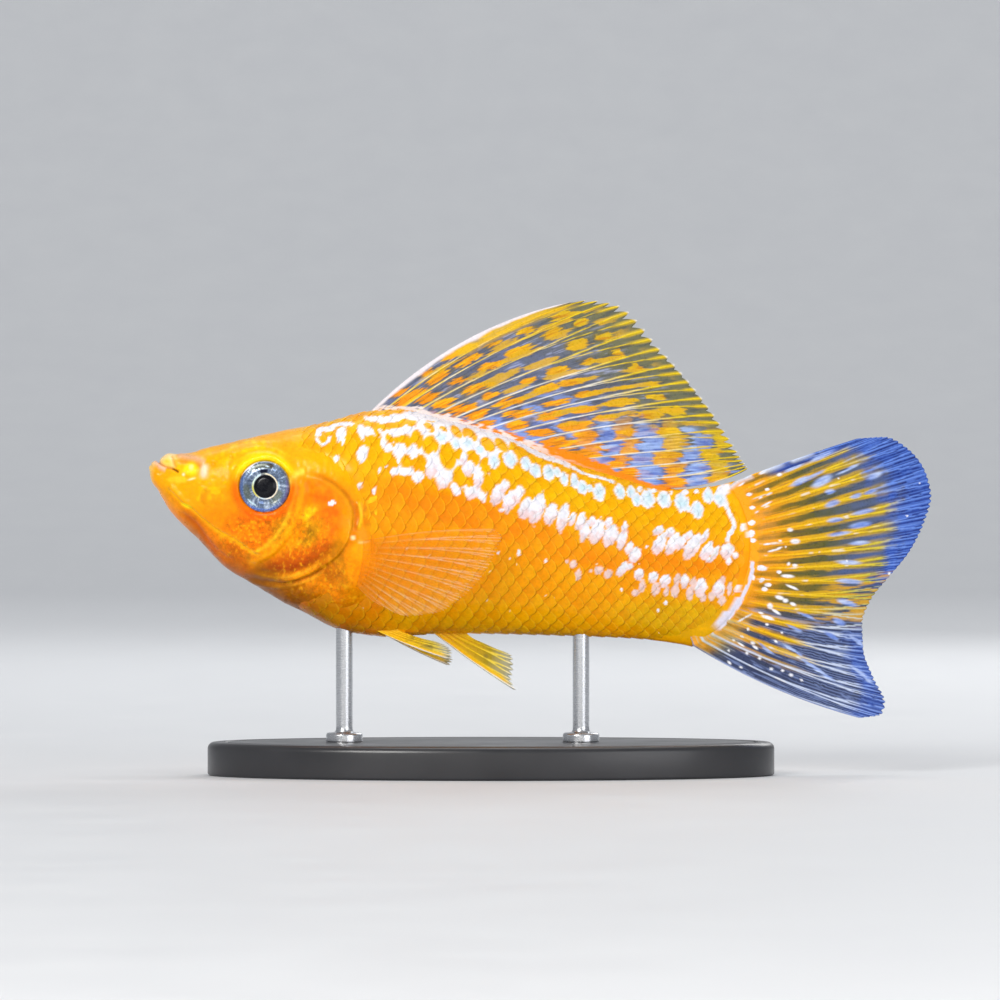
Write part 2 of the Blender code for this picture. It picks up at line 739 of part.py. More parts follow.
def part_the_body(molly, helpers):
    """Cuts the loft into jaws, head, trunk and tail stalk, told apart by where they lie."""
    whole = body("whole", molly)
    jaw_arc = arc(JAW_ARC_AT, JAW_ARC_RADIUS, 85, -85, 14)
    tail_arc = arc(TAIL_ROUND_AT, TAIL_ROUND, 60, -95, 26)
    for path in (jaw_arc, MOUTH_LINE, gill_edge(), TAIL_CUT, tail_arc):
        boolean(whole, band(path, helpers))
    wanted = {
        "upper_jaw": (-43.2, 37.4), "lower_jaw": (-43.8, 34.0), "head": (-33.0, 30.0),
        "trunk": (-6.0, 30.0), "tail_stalk": (18.5, 25.0),
    }
    pieces = islands(whole.data)
    made = {}
    for name, place in wanted.items():
        def off(piece):
            spread = zip(*(whole.data.vertices[i].co.xz for i in piece))
            return math.dist([(min(s) + max(s)) / 2 / MM for s in spread], place)

        big = [piece for piece in pieces if len(piece) > 30]
        made[name] = new_object(name, whole.data.copy(), molly)
        keep_piece(made[name], min(big, key=off))
    remove(whole)
    return made


def main():
    clear_scene()
    molly = collection_named("sailfin_molly")
    helpers = collection_named("cutters")
    helpers.hide_render = True
    flesh, clear_fin, orange_fin = (material(n) for n in ("flesh", "clear_fin", "orange_fin"))

    parts = part_the_body(molly, helpers)
    head, trunk = parts["head"], parts["trunk"]

    cover = gill_blank(GILL_PROUD, GILL_THICK - GILL_PROUD, 0.0, helpers)
    pocket = gill_blank(POCKET_OUT, GILL_THICK - GILL_PROUD + GAP, GAP, helpers)
    socket = ellipsoid("socket", eye_centre(), EYE_BULGE, EYE_DEPTH, EYE_RADIUS, GAP, helpers)
    nostrils = []
    for x, z, radius in NOSTRILS:
        place = (x, -flank(x, z), z)
        nostrils.append(
            ellipsoid("nostril", place, NOSTRIL_DEPTH, NOSTRIL_DEPTH, radius, 0.0, helpers, 12, 8)
        )
    for cutter in (pocket, socket, *nostrils):
        boolean(head, mirrored(cutter, "mirrored", helpers))
        boolean(head, cutter)
    keep_largest(head)
    for name, obj in parts.items():
        finish(obj, flesh)

    left_cover = new_object("gill_cover_left", cover.data.copy(), molly)
    finish(left_cover, flesh)
    finish(mirrored(left_cover, "gill_cover_right", molly), flesh)
    remove(cover)

    left_eye = ellipsoid("eye_left", eye_centre(), EYE_BULGE, EYE_DEPTH, EYE_RADIUS, 0.0, molly)
    finish(left_eye, material("eye"))
    finish(mirrored(left_eye, "eye_right", molly), left_eye.data.materials[0])

    grown = body("grown", helpers, GAP)
    finish(trim(dorsal_fin(molly), grown), clear_fin)
    finish(tail_fin(molly), clear_fin)
    finish(trim(anal_fin(molly), grown), clear_fin)
    for name, left in (("pectoral_fin_left", True), ("pectoral_fin_right", False)):
        made = trim(pectoral_fin(name, 0.18 if left else 0.24, molly), grown)
        finish(on_its_side(made, left, molly), orange_fin)
    for name, left in (("pelvic_fin_left", True), ("pelvic_fin_right", False)):
        made = trim(pelvic_fin(name, 0.0 if left else 0.9, 0.13 if left else 0.1, molly), grown)
        finish(on_its_side(made, left, molly), clear_fin)
    remove(grown)

    for x in (ROD_FRONT_X, ROD_REAR_X):
        boolean(trunk, rod_hole(x, belly_height(x) - HOLE_OVERSHOOT, rod_top(x) + GAP, helpers))
    finish(stand_base(molly, helpers), material("stand"))
    rod_metal = material("rod")
    for name, x in (("stand_rod_front", ROD_FRONT_X), ("stand_rod_rear", ROD_REAR_X)):
        finish(stand_rod(name, x, molly), rod_metal)


def on_its_side(obj, left, collection):
    """The object itself on the left, or its mirror image under the same name on the right."""
    if left:
        return obj
    name = obj.name
    obj.name = name + "_model"
    made = mirrored(obj, name, collection)
    remove(obj)
    return made


main()
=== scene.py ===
import math

import bpy
import numpy as np
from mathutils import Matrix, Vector


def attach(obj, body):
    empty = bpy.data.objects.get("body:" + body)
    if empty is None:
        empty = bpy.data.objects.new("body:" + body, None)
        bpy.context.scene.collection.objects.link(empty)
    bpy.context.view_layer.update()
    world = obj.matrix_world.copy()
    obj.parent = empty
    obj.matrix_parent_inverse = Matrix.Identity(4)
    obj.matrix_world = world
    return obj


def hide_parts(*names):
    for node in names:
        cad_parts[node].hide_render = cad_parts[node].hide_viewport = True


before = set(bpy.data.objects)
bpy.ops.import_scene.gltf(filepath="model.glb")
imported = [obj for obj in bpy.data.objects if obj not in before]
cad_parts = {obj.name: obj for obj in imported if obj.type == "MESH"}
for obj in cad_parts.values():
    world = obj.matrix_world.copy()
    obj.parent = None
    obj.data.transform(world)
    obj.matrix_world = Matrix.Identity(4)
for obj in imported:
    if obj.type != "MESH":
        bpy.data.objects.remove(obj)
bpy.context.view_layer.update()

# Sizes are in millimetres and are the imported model's own. The fish faces -X, its left side is towards -Y.
MM = 0.001
SNOUT_X = -46.9
BODY_END_X = 27.2
BACK = [
    (SNOUT_X, 37.1), (-46.2, 37.5), (-45.75, 37.5), (-45.3, 38.1), (-44.5, 38.5), (-42.7, 38.5),
    (-36.1, 40.2), (-25.6, 42.5), (-20.4, 43.8), (-16.8, 44.0), (-12.2, 43.0), (-5.0, 41.1),
    (1.7, 38.3), (8.6, 36.2), (16.5, 34.4), (20.9, 34.8), (BODY_END_X, 36.4),
]
BELLY = [
    (SNOUT_X, 36.6), (-46.3, 35.0), (-44.4, 31.6), (-41.0, 28.3), (-35.0, 23.3), (-29.0, 19.7),
    (-23.0, 17.0), (-18.0, 16.5), (-11.3, 16.9), (9.5, 16.4), (16.7, 15.7), (20.9, 14.4),
    (BODY_END_X, 11.0),
]
HALF_WIDTH = [
    (SNOUT_X, 1.3), (-46.3, 2.1), (-44.8, 2.9), (-41.5, 4.0), (-36.0, 5.2), (-30.0, 6.2),
    (-23.0, 6.9), (-16.0, 6.9), (-5.0, 6.0), (3.0, 4.8), (10.0, 3.6), (18.0, 2.2),
    (24.0, 1.15), (BODY_END_X, 0.8),
]
WIDEST_DOWN = [(SNOUT_X, 0.5), (-40.0, 0.42), (-20.0, 0.42), (10.0, 0.46), (BODY_END_X, 0.5)]
BACK_ROUNDNESS = [(SNOUT_X, 2.2), (-38.0, 2.7), (-28.0, 2.5), (-15.0, 2.0), (BODY_END_X, 2.0)]
BELLY_ROUNDNESS = [(SNOUT_X, 2.2), (-40.0, 2.0), (-30.0, 1.85), (-18.0, 2.0), (BODY_END_X, 2.0)]
EYE_AT = (-32.97, 34.6)
EYE_RADIUS, EYE_BULGE, EYE_DEPTH, EYE_SUNK, EYE_FOLLOWS = 3.06, 0.95, 2.3, 0.1, 0.8
GILL_AT = (-30.1, 30.2)
TAIL_AT, TAIL_ROUND = (13.4, 27.4), 12.65
SCALE_DEPTH = 0.25  # how far the skin lies under the scales' tops
BODY = "root"

CAMERA_X, CAMERA_Z, CAMERA_AWAY = -4.92, 33.0, 833.3
PIXEL = 0.12  # one pixel of the photograph, on the fish's midplane
PHOTO_MIDDLE, BODY_MIDDLE_PX = 500, 541


# Reading the sizes

def smooth(points):
    """A function through (position, value) pairs that is smooth and never overshoots them."""
    at, value = np.array(points, float).T
    width = np.diff(at)
    steps = np.diff(value) / width
    slopes = np.empty(len(at))
    slopes[0], slopes[-1] = steps[0], steps[-1]
    before, after = steps[:-1], steps[1:]
    same = before * after > 0
    slopes[1:-1] = np.where(same, 2 * before * after / np.where(same, before + after, 1), 0)

    def read(x):
        x = np.clip(x, at[0], at[-1])
        i = np.clip(np.searchsorted(at, x, side="right") - 1, 0, len(at) - 2)
        t = (x - at[i]) / width[i]
        return (
            value[i] * (1 + 2 * t) * (1 - t) ** 2
            + slopes[i] * width[i] * t * (1 - t) ** 2
            + value[i + 1] * t * t * (3 - 2 * t)
            + slopes[i + 1] * width[i] * t * t * (t - 1)
        )

    return read


back_height, belly_height, half_width, widest_down, back_roundness, belly_roundness = map(
    smooth, (BACK, BELLY, HALF_WIDTH, WIDEST_DOWN, BACK_ROUNDNESS, BELLY_ROUNDNESS)
)


def along_chain(*points):
    """A function from 0 to 1 that runs along a smooth line through the points at an even pace."""
    p = np.array(points, float)
    lengths = np.concatenate([[0], np.cumsum(np.hypot(*np.diff(p, axis=0).T))])
    reads = [smooth(list(zip(lengths / lengths[-1], p[:, k]))) for k in range(2)]
    return lambda t: (reads[0](t), reads[1](t))


def step(low, high, value):
    """0 below low, 1 above high, and smooth between them. High may be the lower one."""
    t = np.clip((value - low) / (high - low), 0, 1)
    return t * t * (3 - 2 * t)


def section(x):
    """The body's section at x: heights of its top, widest place and bottom, half width, and roundness."""
    top, bottom = back_height(x), belly_height(x)
    middle = top - widest_down(x) * (top - bottom)
    return top, middle, bottom, half_width(x), back_roundness(x), belly_roundness(x)


def flank(x, z):
    """How far the body's side is from the midplane at that place."""
    top, middle, bottom, width, above, below = section(x)
    reach = np.where(z >= middle, top - middle, middle - bottom)
    power = np.where(z >= middle, above, below)
    share = np.minimum(np.abs(z - middle) / reach, 1.0)
    return width * (1 - share**power) ** (1 / power)


def ring_point(x, angle):
    """(y, z) on the body's section at x, for an angle from 0 at the back to pi at the belly."""
    top, middle, bottom, width, above, below = section(x)
    up, out = np.cos(angle), np.sin(angle)
    power = np.where(up >= 0, above, below)
    reach = np.where(up >= 0, top - middle, middle - bottom)
    z = middle + reach * np.sign(up) * np.abs(up) ** (2 / power)
    return width * np.abs(out) ** (2 / power), z


STATION_STEP = 0.1
STATIONS = np.arange(SNOUT_X, BODY_END_X + STATION_STEP / 2, STATION_STEP)
SHARES = np.linspace(0, 1, 241)


def even_angles():
    """For each station, the ring angle at even steps of the way from back to belly, and that way's length."""
    angle = np.linspace(0, math.pi, 481)
    y, z = ring_point(STATIONS[:, None], angle[None, :])
    pieces = np.hypot(np.diff(y, axis=1), np.diff(z, axis=1))
    lengths = np.concatenate([np.zeros((len(STATIONS), 1)), np.cumsum(pieces, axis=1)], axis=1)
    table = np.array([np.interp(SHARES * row[-1], row, angle) for row in lengths])
    return table, lengths[:, -1]


ANGLES, GIRTHS = even_angles()


def girth(x):
    """The length of one side of the body's ring at x."""
    return np.interp(x, STATIONS, GIRTHS)


def body_point(x, share):
    """The place (x, y, z) on the right side; a share under 0 or over 1 lies past the midline."""
    past = (share < 0) | (share > 1)
    share = np.abs(share)
    share = np.where(share > 1, 2 - share, share)
    i = np.clip((x - SNOUT_X) / STATION_STEP, 0, len(STATIONS) - 1.001)
    j = np.clip(share * (len(SHARES) - 1), 0, len(SHARES) - 1.001)
    i0, j0 = i.astype(int), j.astype(int)
    fi, fj = i - i0, j - j0
    near = ANGLES[i0, j0] * (1 - fj) + ANGLES[i0, j0 + 1] * fj
    far = ANGLES[i0 + 1, j0] * (1 - fj) + ANGLES[i0 + 1, j0 + 1] * fj
    y, z = ring_point(x, near * (1 - fi) + far * fi)
    return np.stack([x + 0 * y, np.where(past, -y, y), z], axis=-1)


def body_surface(x, share):
    """Places on the right side and the directions out of it."""
    place = body_point(x, share)
    along = body_point(x + 0.15, share) - body_point(x - 0.15, share)
    down = body_point(x, share + 0.01) - body_point(x, share - 0.01)
    out = np.cross(along, down)
    return place, out / np.maximum(np.linalg.norm(out, axis=-1, keepdims=True), 1e-9)


# Lines, noise and colours

def at_photo(px, py):
    """A place on the near side of the body from its place on the photograph."""
    nearer = 1 - 0.85 * float(half_width((px - BODY_MIDDLE_PX) * PIXEL)) / CAMERA_AWAY
    return CAMERA_X + (px - PHOTO_MIDDLE) * PIXEL * nearer, CAMERA_Z + (PHOTO_MIDDLE - py) * PIXEL * nearer


def line(*points, steps=5):
    """A smooth line through places on the photograph, as close points."""
    p = np.array([at_photo(*q) for q in points])
    p = np.vstack([2 * p[0] - p[1], p, 2 * p[-1] - p[-2]])
    t = np.linspace(0, 1, steps, endpoint=False)[:, None]
    found = []
    for a, b, c, d in zip(p, p[1:], p[2:], p[3:]):
        turn, twist = 2 * a - 5 * b + 4 * c - d, 3 * b - a - 3 * c + d
        found.append(0.5 * (2 * b + (c - a) * t + turn * t**2 + twist * t**3))
    return np.vstack([*found, p[-2:-1]])


def from_line(x, z, points):
    """The distance to a line, the side of it (+1 to its left), and the share of the way along it."""
    best, side, along = np.full(x.shape, 1e9), np.zeros(x.shape), np.zeros(x.shape)
    for i, (a, b) in enumerate(zip(points, points[1:])):
        d = b - a
        px, pz = x - a[0], z - a[1]
        t = np.clip((px * d[0] + pz * d[1]) / (d @ d), 0, 1)
        gap = np.hypot(px - t * d[0], pz - t * d[1])
        near = gap < best
        best = np.where(near, gap, best)
        side = np.where(near, np.sign(d[0] * pz - d[1] * px), side)
        along = np.where(near, (i + t) / (len(points) - 1), along)
    return best, side, along


def thinned(along, taper):
    """1 along a line, and down to 0 over its ends."""
    return np.minimum(step(-0.001, taper, along), step(1.001, 1 - taper, along))


def mark(x, z, points, width, taper=0.12):
    """1 on a line and 0 away from it, thinning out at its ends."""
    gap, _, along = from_line(x, z, points)
    return np.exp(-((gap / width) ** 2)) * thinned(along, taper)


def band(x, z, points, half, ragged):
    """1 inside a band that reaches half its width, in photograph pixels, from a line."""
    gap, _, along = from_line(x, z, points)
    return step(1.12, 0.88, gap / PIXEL / half + ragged) * thinned(along, 0.05)


def spot(x, z, px, py, wide, tall, turn=0.0, soft=0.5):
    """1 inside an ellipse placed on the photograph, with sizes in photograph pixels."""
    cx, cz = at_photo(px, py)
    a = math.radians(turn)
    u, v = (x - cx) / PIXEL, (z - cz) / PIXEL
    u, v = u * math.cos(a) + v * math.sin(a), v * math.cos(a) - u * math.sin(a)
    return step(1 + soft / 2, 1 - soft / 2, np.hypot(u / wide, v / tall))


def bell(value, middle, width, power=2):
    """1 at the middle, falling to 0 over about the width on either side."""
    return np.exp(-(((value - middle) / width) ** power))


def wander(x, z, size, seed):
    """Smooth random values from -1 to 1 over the side view, with features of that size."""
    table = np.random.default_rng(seed).uniform(-1, 1, (128, 128))
    u, v = x / size + 500.0, z / size + 500.0
    i, j = np.floor(u).astype(int), np.floor(v).astype(int)
    fu, fv = u - i, v - j
    fu, fv = fu * fu * (3 - 2 * fu), fv * fv * (3 - 2 * fv)
    i, j = i % 127, j % 127
    low = table[i, j] * (1 - fu) + table[i + 1, j] * fu
    high = table[i, j + 1] * (1 - fu) + table[i + 1, j + 1] * fu
    return low * (1 - fv) + high * fv


def linear(colour):
    """A tuple of sRGB values up to 255 as a linear colour. Arrays are linear already."""
    if not isinstance(colour, tuple):
        return colour
    c = np.array(colour, float) / 255
    return np.where(c <= 0.04045, c / 12.92, ((c + 0.055) / 1.055) ** 2.4)


def graded(value, *stops):
    """A colour read between stops of (value, red, green, blue)."""
    at, tones = [s[0] for s in stops], np.array([linear(s[1:]) for s in stops])
    return np.stack([np.interp(value, at, tones[:, k]) for k in range(3)], axis=-1)


MARK_REST = (0.12, 0, 0)  # a mark's taper and its shift in x and z, where its row leaves them out


class Paint:
    """A colour at each place of the side view, with other tones laid over it."""

    def __init__(self, base, x, z):
        self.x, self.z = x, z
        self.colour = np.broadcast_to(linear(base), x.shape + (3,))

    def over(self, tone, weight):
        """Lays a tone over the colour with a weight from 0 to 1 at each place."""
        self.colour = self.colour + (linear(tone) - self.colour) * np.clip(weight, 0, 1)[..., None]
        return self

    def spots(self, *rows):
        """Each row is a tone, a weight, and what spot() reads."""
        for tone, weight, *place in rows:
            self.over(tone, weight * spot(self.x, self.z, *place))

    def marks(self, *rows):
        """Each row is a tone, a weight, a line, a width, and maybe a taper and a shift in x and z."""
        for tone, weight, points, width, *rest in rows:
            taper, dx, dz = [*rest, *MARK_REST[len(rest):]]
            self.over(tone, weight * mark(self.x + dx, self.z + dz, points, width, taper))


# Meshes and materials

def piece(name, verts, faces, replaced, material, colours=None, lay=None, uv=None):
    """A mesh object from arrays in millimetres. uv is one place for each corner of each face."""
    mesh = bpy.data.meshes.new(name)
    mesh.from_pydata((verts * MM).tolist(), [], faces.tolist() if isinstance(faces, np.ndarray) else faces)
    if colours is not None:
        layer = mesh.color_attributes.new("marking", "FLOAT_COLOR", "POINT")
        layer.data.foreach_set("color", np.hstack([colours, np.ones((len(verts), 1))]).ravel())
    if lay is not None:
        mesh.attributes.new("lay", "FLOAT_VECTOR", "POINT").data.foreach_set("vector", lay.ravel())
    if uv is not None:
        mesh.uv_layers.new(name="OFBake").data.foreach_set("uv", uv.ravel())
    mesh.shade_smooth()
    mesh.materials.append(material)
    obj = linked(name, mesh)
    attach(obj, BODY)
    if replaced:
        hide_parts(*replaced)
    return obj


def linked(name, data):
    """A new object in the scene."""
    obj = bpy.data.objects.new(name, data)
    bpy.context.scene.collection.objects.link(obj)
    return obj


def grid_faces(rows, columns, start=0):
    """Quads over a grid of points numbered row by row."""
    a = start + np.arange(rows - 1)[:, None] * columns + np.arange(columns - 1)[None, :]
    return np.stack([a, a + columns, a + columns + 1, a + 1], axis=-1).reshape(-1, 4)


def ring_faces(rows, columns):
    """Quads between closed rings of points."""
    ring = np.arange(columns)[None, :]
    a, b = (np.arange(rows - 1)[:, None] * columns + k for k in (ring, (ring + 1) % columns))
    return np.stack([a, a + columns, b + columns, b], axis=-1).reshape(-1, 4)


def pole_faces(rows, columns):
    """Triangles from the first and last ring to two poles, whose points come after all rings'."""
    pole, last, found = rows * columns, (rows - 1) * columns, []
    for k in range(columns):
        j = (k + 1) % columns
        found += [(pole, k, j), (pole + 1, last + j, last + k)]
    return found


class Nodes:
    """A short way to build a material's nodes."""

    def __init__(self, name):
        self.made = bpy.data.materials.new(name)
        self.made.use_nodes = True
        self.tree = self.made.node_tree
        self.shader = self.tree.nodes["Principled BSDF"]

    def add(self, kind, **values):
        node = self.tree.nodes.new("ShaderNode" + kind)
        for key, value in values.items():
            if hasattr(node, key):
                setattr(node, key, value)
            else:
                node.inputs[key.replace("_", " ")].default_value = value
        return node

    def link(self, source, target):
        self.tree.links.new(source, target)

    def set(self, **values):
        """Sets or links the shader's inputs."""
        for key, value in values.items():
            target = self.shader.inputs[key.replace("_", " ")]
            if isinstance(value, bpy.types.NodeSocket):
                self.link(value, target)
            else:
                target.default_value = value

    def noise(self, scale, detail=3.0, roughness=0.55, stretch=None):
        """Noise over the object's own place, drawn out along some axes by a stretch."""
        place = self.add("TexCoord").outputs["Object"]
        if stretch:
            mapping = self.add("Mapping", Scale=stretch)
            self.link(place, mapping.inputs["Vector"])
            place = mapping.outputs["Vector"]
        node = self.add("TexNoise", Scale=scale, Detail=detail, Roughness=roughness)
        self.link(place, node.inputs["Vector"])
        return node.outputs["Fac"]

    def between(self, source, low, high, from_low=0.3, from_high=0.7):
        """Carries a source from one range to another."""
        node = self.add("MapRange", From_Min=from_low, From_Max=from_high, To_Min=low, To_Max=high)
        self.link(source, node.inputs["Value"])
        return node.outputs["Result"]

    def math(self, operation, *values):
        node = self.add("Math", operation=operation)
        for socket, value in zip(node.inputs, values):
            if isinstance(value, (int, float)):
                socket.default_value = value
            else:
                self.link(value, socket)
        return node.outputs[0]

    def mixed(self, factor, a, b):
        """A colour between two, given as (red, green, blue)."""
        node = self.add("Mix", data_type="RGBA", A=(*a, 1), B=(*b, 1))
        self.link(factor, node.inputs["Factor"])
        return node.outputs["Result"]

    def marked(self, factor):
        """The marking's colour multiplied by a grey factor."""
        node = self.add("VectorMath", operation="SCALE")
        self.link(self.add("Attribute", attribute_name="marking").outputs["Color"], node.inputs[0])
        self.link(factor, node.inputs["Scale"])
        return node.outputs[0]

    def lay(self):
        """The values that the mesh carries beside its marking."""
        parts = self.add("SeparateXYZ")
        self.link(self.add("Attribute", attribute_name="lay").outputs["Vector"], parts.inputs[0])
        return parts.outputs

    def bump(self, height, strength, distance):
        node = self.add("Bump", Strength=strength, Distance=distance)
        self.link(height, node.inputs["Height"])
        self.set(Normal=node.outputs["Normal"])


def flesh_material(name, gloss=0.3, grain=0.12):
    """Wet fish skin that takes its colour from the marking. lay's X says how mottled it is."""
    n = Nodes(name)
    fine, coarse = n.noise(2600, 4), n.noise(700, 3)
    speckle = n.between(n.noise(1900, 5, 0.7), -0.07, 0.5, 0.36, 0.64)
    mottled = n.math("ADD", n.math("MULTIPLY", n.lay()["X"], speckle), n.between(fine, 0.92, 1.08))
    n.set(Base_Color=n.marked(mottled), Roughness=n.between(coarse, gloss - 0.07, gloss + 0.1))
    n.bump(n.math("ADD", fine, n.math("MULTIPLY", coarse, 0.8)), grain, 0.00012)
    n.set(Coat_Weight=0.1, Coat_Roughness=0.08, Specular_IOR_Level=0.3, Specular_Tint=(1.0, 0.66, 0.22, 1.0))
    n.set(Subsurface_Weight=0.08, Subsurface_Scale=0.0005, Subsurface_Radius=(1.0, 0.45, 0.15))
    return n.made


RAY_JOINT = 0.62  # the spacing of the joints along a fin's rays


def fin_material(name, gloss=0.3, alpha=1.0):
    """A ribbed membrane. lay holds the way along the ray in mm, and how near its crest."""
    n = Nodes(name)
    fine, lay = n.noise(3200, 3), n.lay()
    n.set(Base_Color=n.marked(n.between(fine, 0.95, 1.05)), Roughness=n.between(fine, gloss - 0.08, gloss + 0.14))
    wave = n.math("SINE", n.math("MULTIPLY", lay["X"], 2 * math.pi / RAY_JOINT))
    joints = n.math("MULTIPLY", n.math("MULTIPLY", wave, lay["Y"]), 0.35)
    n.bump(n.math("ADD", joints, fine), 0.35, 0.00008)
    n.set(Coat_Weight=0.06, Coat_Roughness=0.15, Specular_IOR_Level=0.25, Alpha=alpha)
    return n.made


def eye_material():
    """A wet lens. lay's X says how metallic the iris is."""
    n = Nodes("eye_wet")
    fine = n.noise(5200, 3)
    n.set(Base_Color=n.marked(n.between(fine, 0.82, 1.18)), Metallic=n.lay()["X"])
    n.set(Roughness=n.between(fine, 0.16, 0.34), Coat_Weight=0.2, Coat_Roughness=0.02, Specular_IOR_Level=0.15)
    n.bump(fine, 0.12, 0.00005)
    return n.made


def stand_material():
    n = Nodes("satin_black")
    fine, coarse = n.noise(5000, 4), n.noise(120, 5)
    n.set(Base_Color=n.mixed(coarse, (0.012, 0.012, 0.014), (0.03, 0.03, 0.034)))
    n.set(Roughness=n.between(coarse, 0.28, 0.42), Coat_Weight=0.2, Coat_Roughness=0.2)
    n.bump(fine, 0.12, 0.00003)
    return n.made


def rod_material():
    n = Nodes("bright_steel")
    lines = n.noise(900.0, 4.0, 0.5, stretch=(1.0, 1.0, 14.0))
    n.set(Base_Color=n.mixed(lines, (0.52, 0.53, 0.55), (0.68, 0.69, 0.71)))
    n.set(Roughness=n.between(lines, 0.16, 0.32), Metallic=1.0)
    n.bump(lines, 0.08, 0.00003)
    return n.made


# Camera, floor and light. Places in this part are in metres.

def camera():
    """Looks level at the fish's left side, as the photograph does."""
    made = bpy.data.cameras.new("camera")
    made.lens, made.sensor_width = 250, 36
    made.clip_start, made.clip_end = 0.01, 20
    obj = linked("camera", made)
    obj.location = (CAMERA_X * MM, -CAMERA_AWAY * MM, CAMERA_Z * MM)
    obj.rotation_euler = (math.radians(90), 0, 0)
    bpy.context.scene.camera = obj
    bpy.context.scene.view_settings.view_transform = "Standard"


FLOOR_HALF, FLOOR_FRONT, BEND_AT, BEND_RADIUS, BACKDROP_TOP = 4.0, -3.0, 1.6, 0.9, 3.0


def stage():
    """A pale floor that curves up into a backdrop far behind."""
    n = Nodes("pale_floor")
    fine = n.noise(60, 5)
    n.set(Base_Color=n.mixed(fine, (0.68, 0.69, 0.71), (0.74, 0.75, 0.76)), Roughness=n.between(fine, 0.5, 0.65))
    profile = [(FLOOR_FRONT, 0.0), (BEND_AT, 0.0)]
    for a in np.linspace(0.1, math.pi / 2, 14):
        profile.append((BEND_AT + BEND_RADIUS * math.sin(a), BEND_RADIUS - BEND_RADIUS * math.cos(a)))
    profile.append((BEND_AT + BEND_RADIUS, BACKDROP_TOP))
    verts = [(x, y, z) for y, z in profile for x in (-FLOOR_HALF, FLOOR_HALF)]
    mesh = bpy.data.meshes.new("backdrop")
    mesh.from_pydata(verts, [], [(2 * i, 2 * i + 1, 2 * i + 3, 2 * i + 2) for i in range(len(profile) - 1)])
    mesh.shade_smooth()
    mesh.materials.append(n.made)
    linked("backdrop", mesh)


# Each light's name, place, size, energy, colour, and the place it shines at.
FISH_AT, BACKDROP_AT, WHITE_LIGHT = (-0.005, 0, 0.03), (0.0, 2.3, 0.5), (1.0, 1.0, 1.0)
LIGHTS = [
    ("key", (-0.4, -0.75, 0.42), 0.35, 4.4, (1.0, 0.98, 0.95), FISH_AT),
    ("fill", (0.55, -0.7, 0.12), 0.6, 2.2, (0.98, 0.98, 1.0), FISH_AT),
    ("low", (0.0, -0.45, 0.02), 0.25, 0.11, (1.0, 0.96, 0.9), FISH_AT),
    ("top", (0.0, 0.05, 0.8), 0.5, 0.9, WHITE_LIGHT, FISH_AT),
    ("rim", (0.3, 0.6, 0.4), 0.4, 1.4, WHITE_LIGHT, FISH_AT),
    ("backdrop_wash", (0.0, 0.5, 1.6), 1.5, 14.0, WHITE_LIGHT, BACKDROP_AT),
]


def lights():
    for name, place, size, energy, colour, target in LIGHTS:
        made = bpy.data.lights.new(name, "AREA")
        made.shape, made.size, made.energy, made.color = "DISK", size, energy, colour
        obj = linked(name, made)
        obj.location = place
        obj.rotation_euler = (Vector(target) - Vector(place)).to_track_quat("-Z", "Y").to_euler()
    world = bpy.data.worlds.new("studio")
    world.use_nodes = True
    sky = world.node_tree.nodes["Background"].inputs
    sky["Color"].default_value, sky["Strength"].default_value = (0.92, 0.95, 1.0, 1), 0.42
    bpy.context.scene.world = world


# The skin's colours and markings

ORANGE_RED = (247, 108, 2)
PEARL_WHITE, PEARL_CYAN, PEARL_ROSE = (246, 244, 250), (205, 232, 240), (240, 205, 205)

GILL_EDGE = line(
    (300, 476), (318, 477), (335, 486), (346, 498), (352, 512), (352, 526), (348, 540), (342, 550),
    (335, 558), (320, 569), (300, 578), (283, 582), (262, 580),
)
GILL_INNER = line(
    (300, 480), (316, 481), (330, 490), (339, 502), (343, 516), (342, 530), (335, 545), (322, 558),
    (303, 568), (283, 571), (262, 566),
)
GILL_LOW = line((252, 559), (262, 564), (277, 567), (296, 566), (312, 560), (326, 551), (336, 540))
CHEEK_EDGE = line((300, 474), (303, 488), (300, 505), (293, 525), (283, 540), (270, 554), (250, 563), (232, 560))
CHEEK_INNER = line((293, 474), (296, 488), (292, 505), (284, 524), (273, 540), (258, 551), (243, 555))
CHEEK_VEE = line((204, 486), (201.6, 493.6), (197, 502)), line((205, 487), (206.9, 494), (204, 505))
MOUTH = line(
    (156, 461.5), (160.3, 463.9), (163.3, 466), (167.9, 467.9), (172.5, 468.7), (176, 470.3), (179.4, 472.5), steps=6,
)
MOUTH_DARK = line((171.2, 468.2), (175, 469.7), (179.6, 472.6), steps=6)
LIP_CREASE = line((171.7, 456.5), (173.4, 460), (175, 464.5), (176.6, 468.6))
LOW_LIP = line((151.6, 465.5), (154.5, 464.3), (158, 465.2), (162, 467.8), (167, 469.8))
MAXILLA = line((176, 455.8), (184, 457), (193, 459.2), (201, 461.5), (206, 464))
MAXILLA_END = line((205.3, 462.5), (205, 468), (204.2, 474), (204, 481), steps=6)
JAW_FOLD = line(
    (166, 487), (172, 493), (178, 499), (184, 505), (193, 510), (204, 520), (219, 531), (235, 540), (250, 551),
    (266, 560),
)
JAW_FOLD_LOW = line((177, 511), (188.6, 518), (198, 526), (206, 537), (218, 549), (236, 560))
BRIDGE = line((182, 459), (200, 456), (225, 448), (260, 438), (295, 430), (330, 422), (365, 414))
BROWS = [
    line((222, 466), (234, 455), (252, 448), (272, 449), (290, 458)),
    line((228, 474), (236, 463), (250, 455), (268, 454), (284, 461)),
    line((215, 458), (232, 447), (250, 442), (270, 443)),
]
FOLDS = [
    line((362, 486), (368, 500), (364, 514), (368, 530)),
    line((371, 489), (376, 505), (372, 522), (375, 534)),
    line((356, 500), (359, 516), (356, 530)),
]
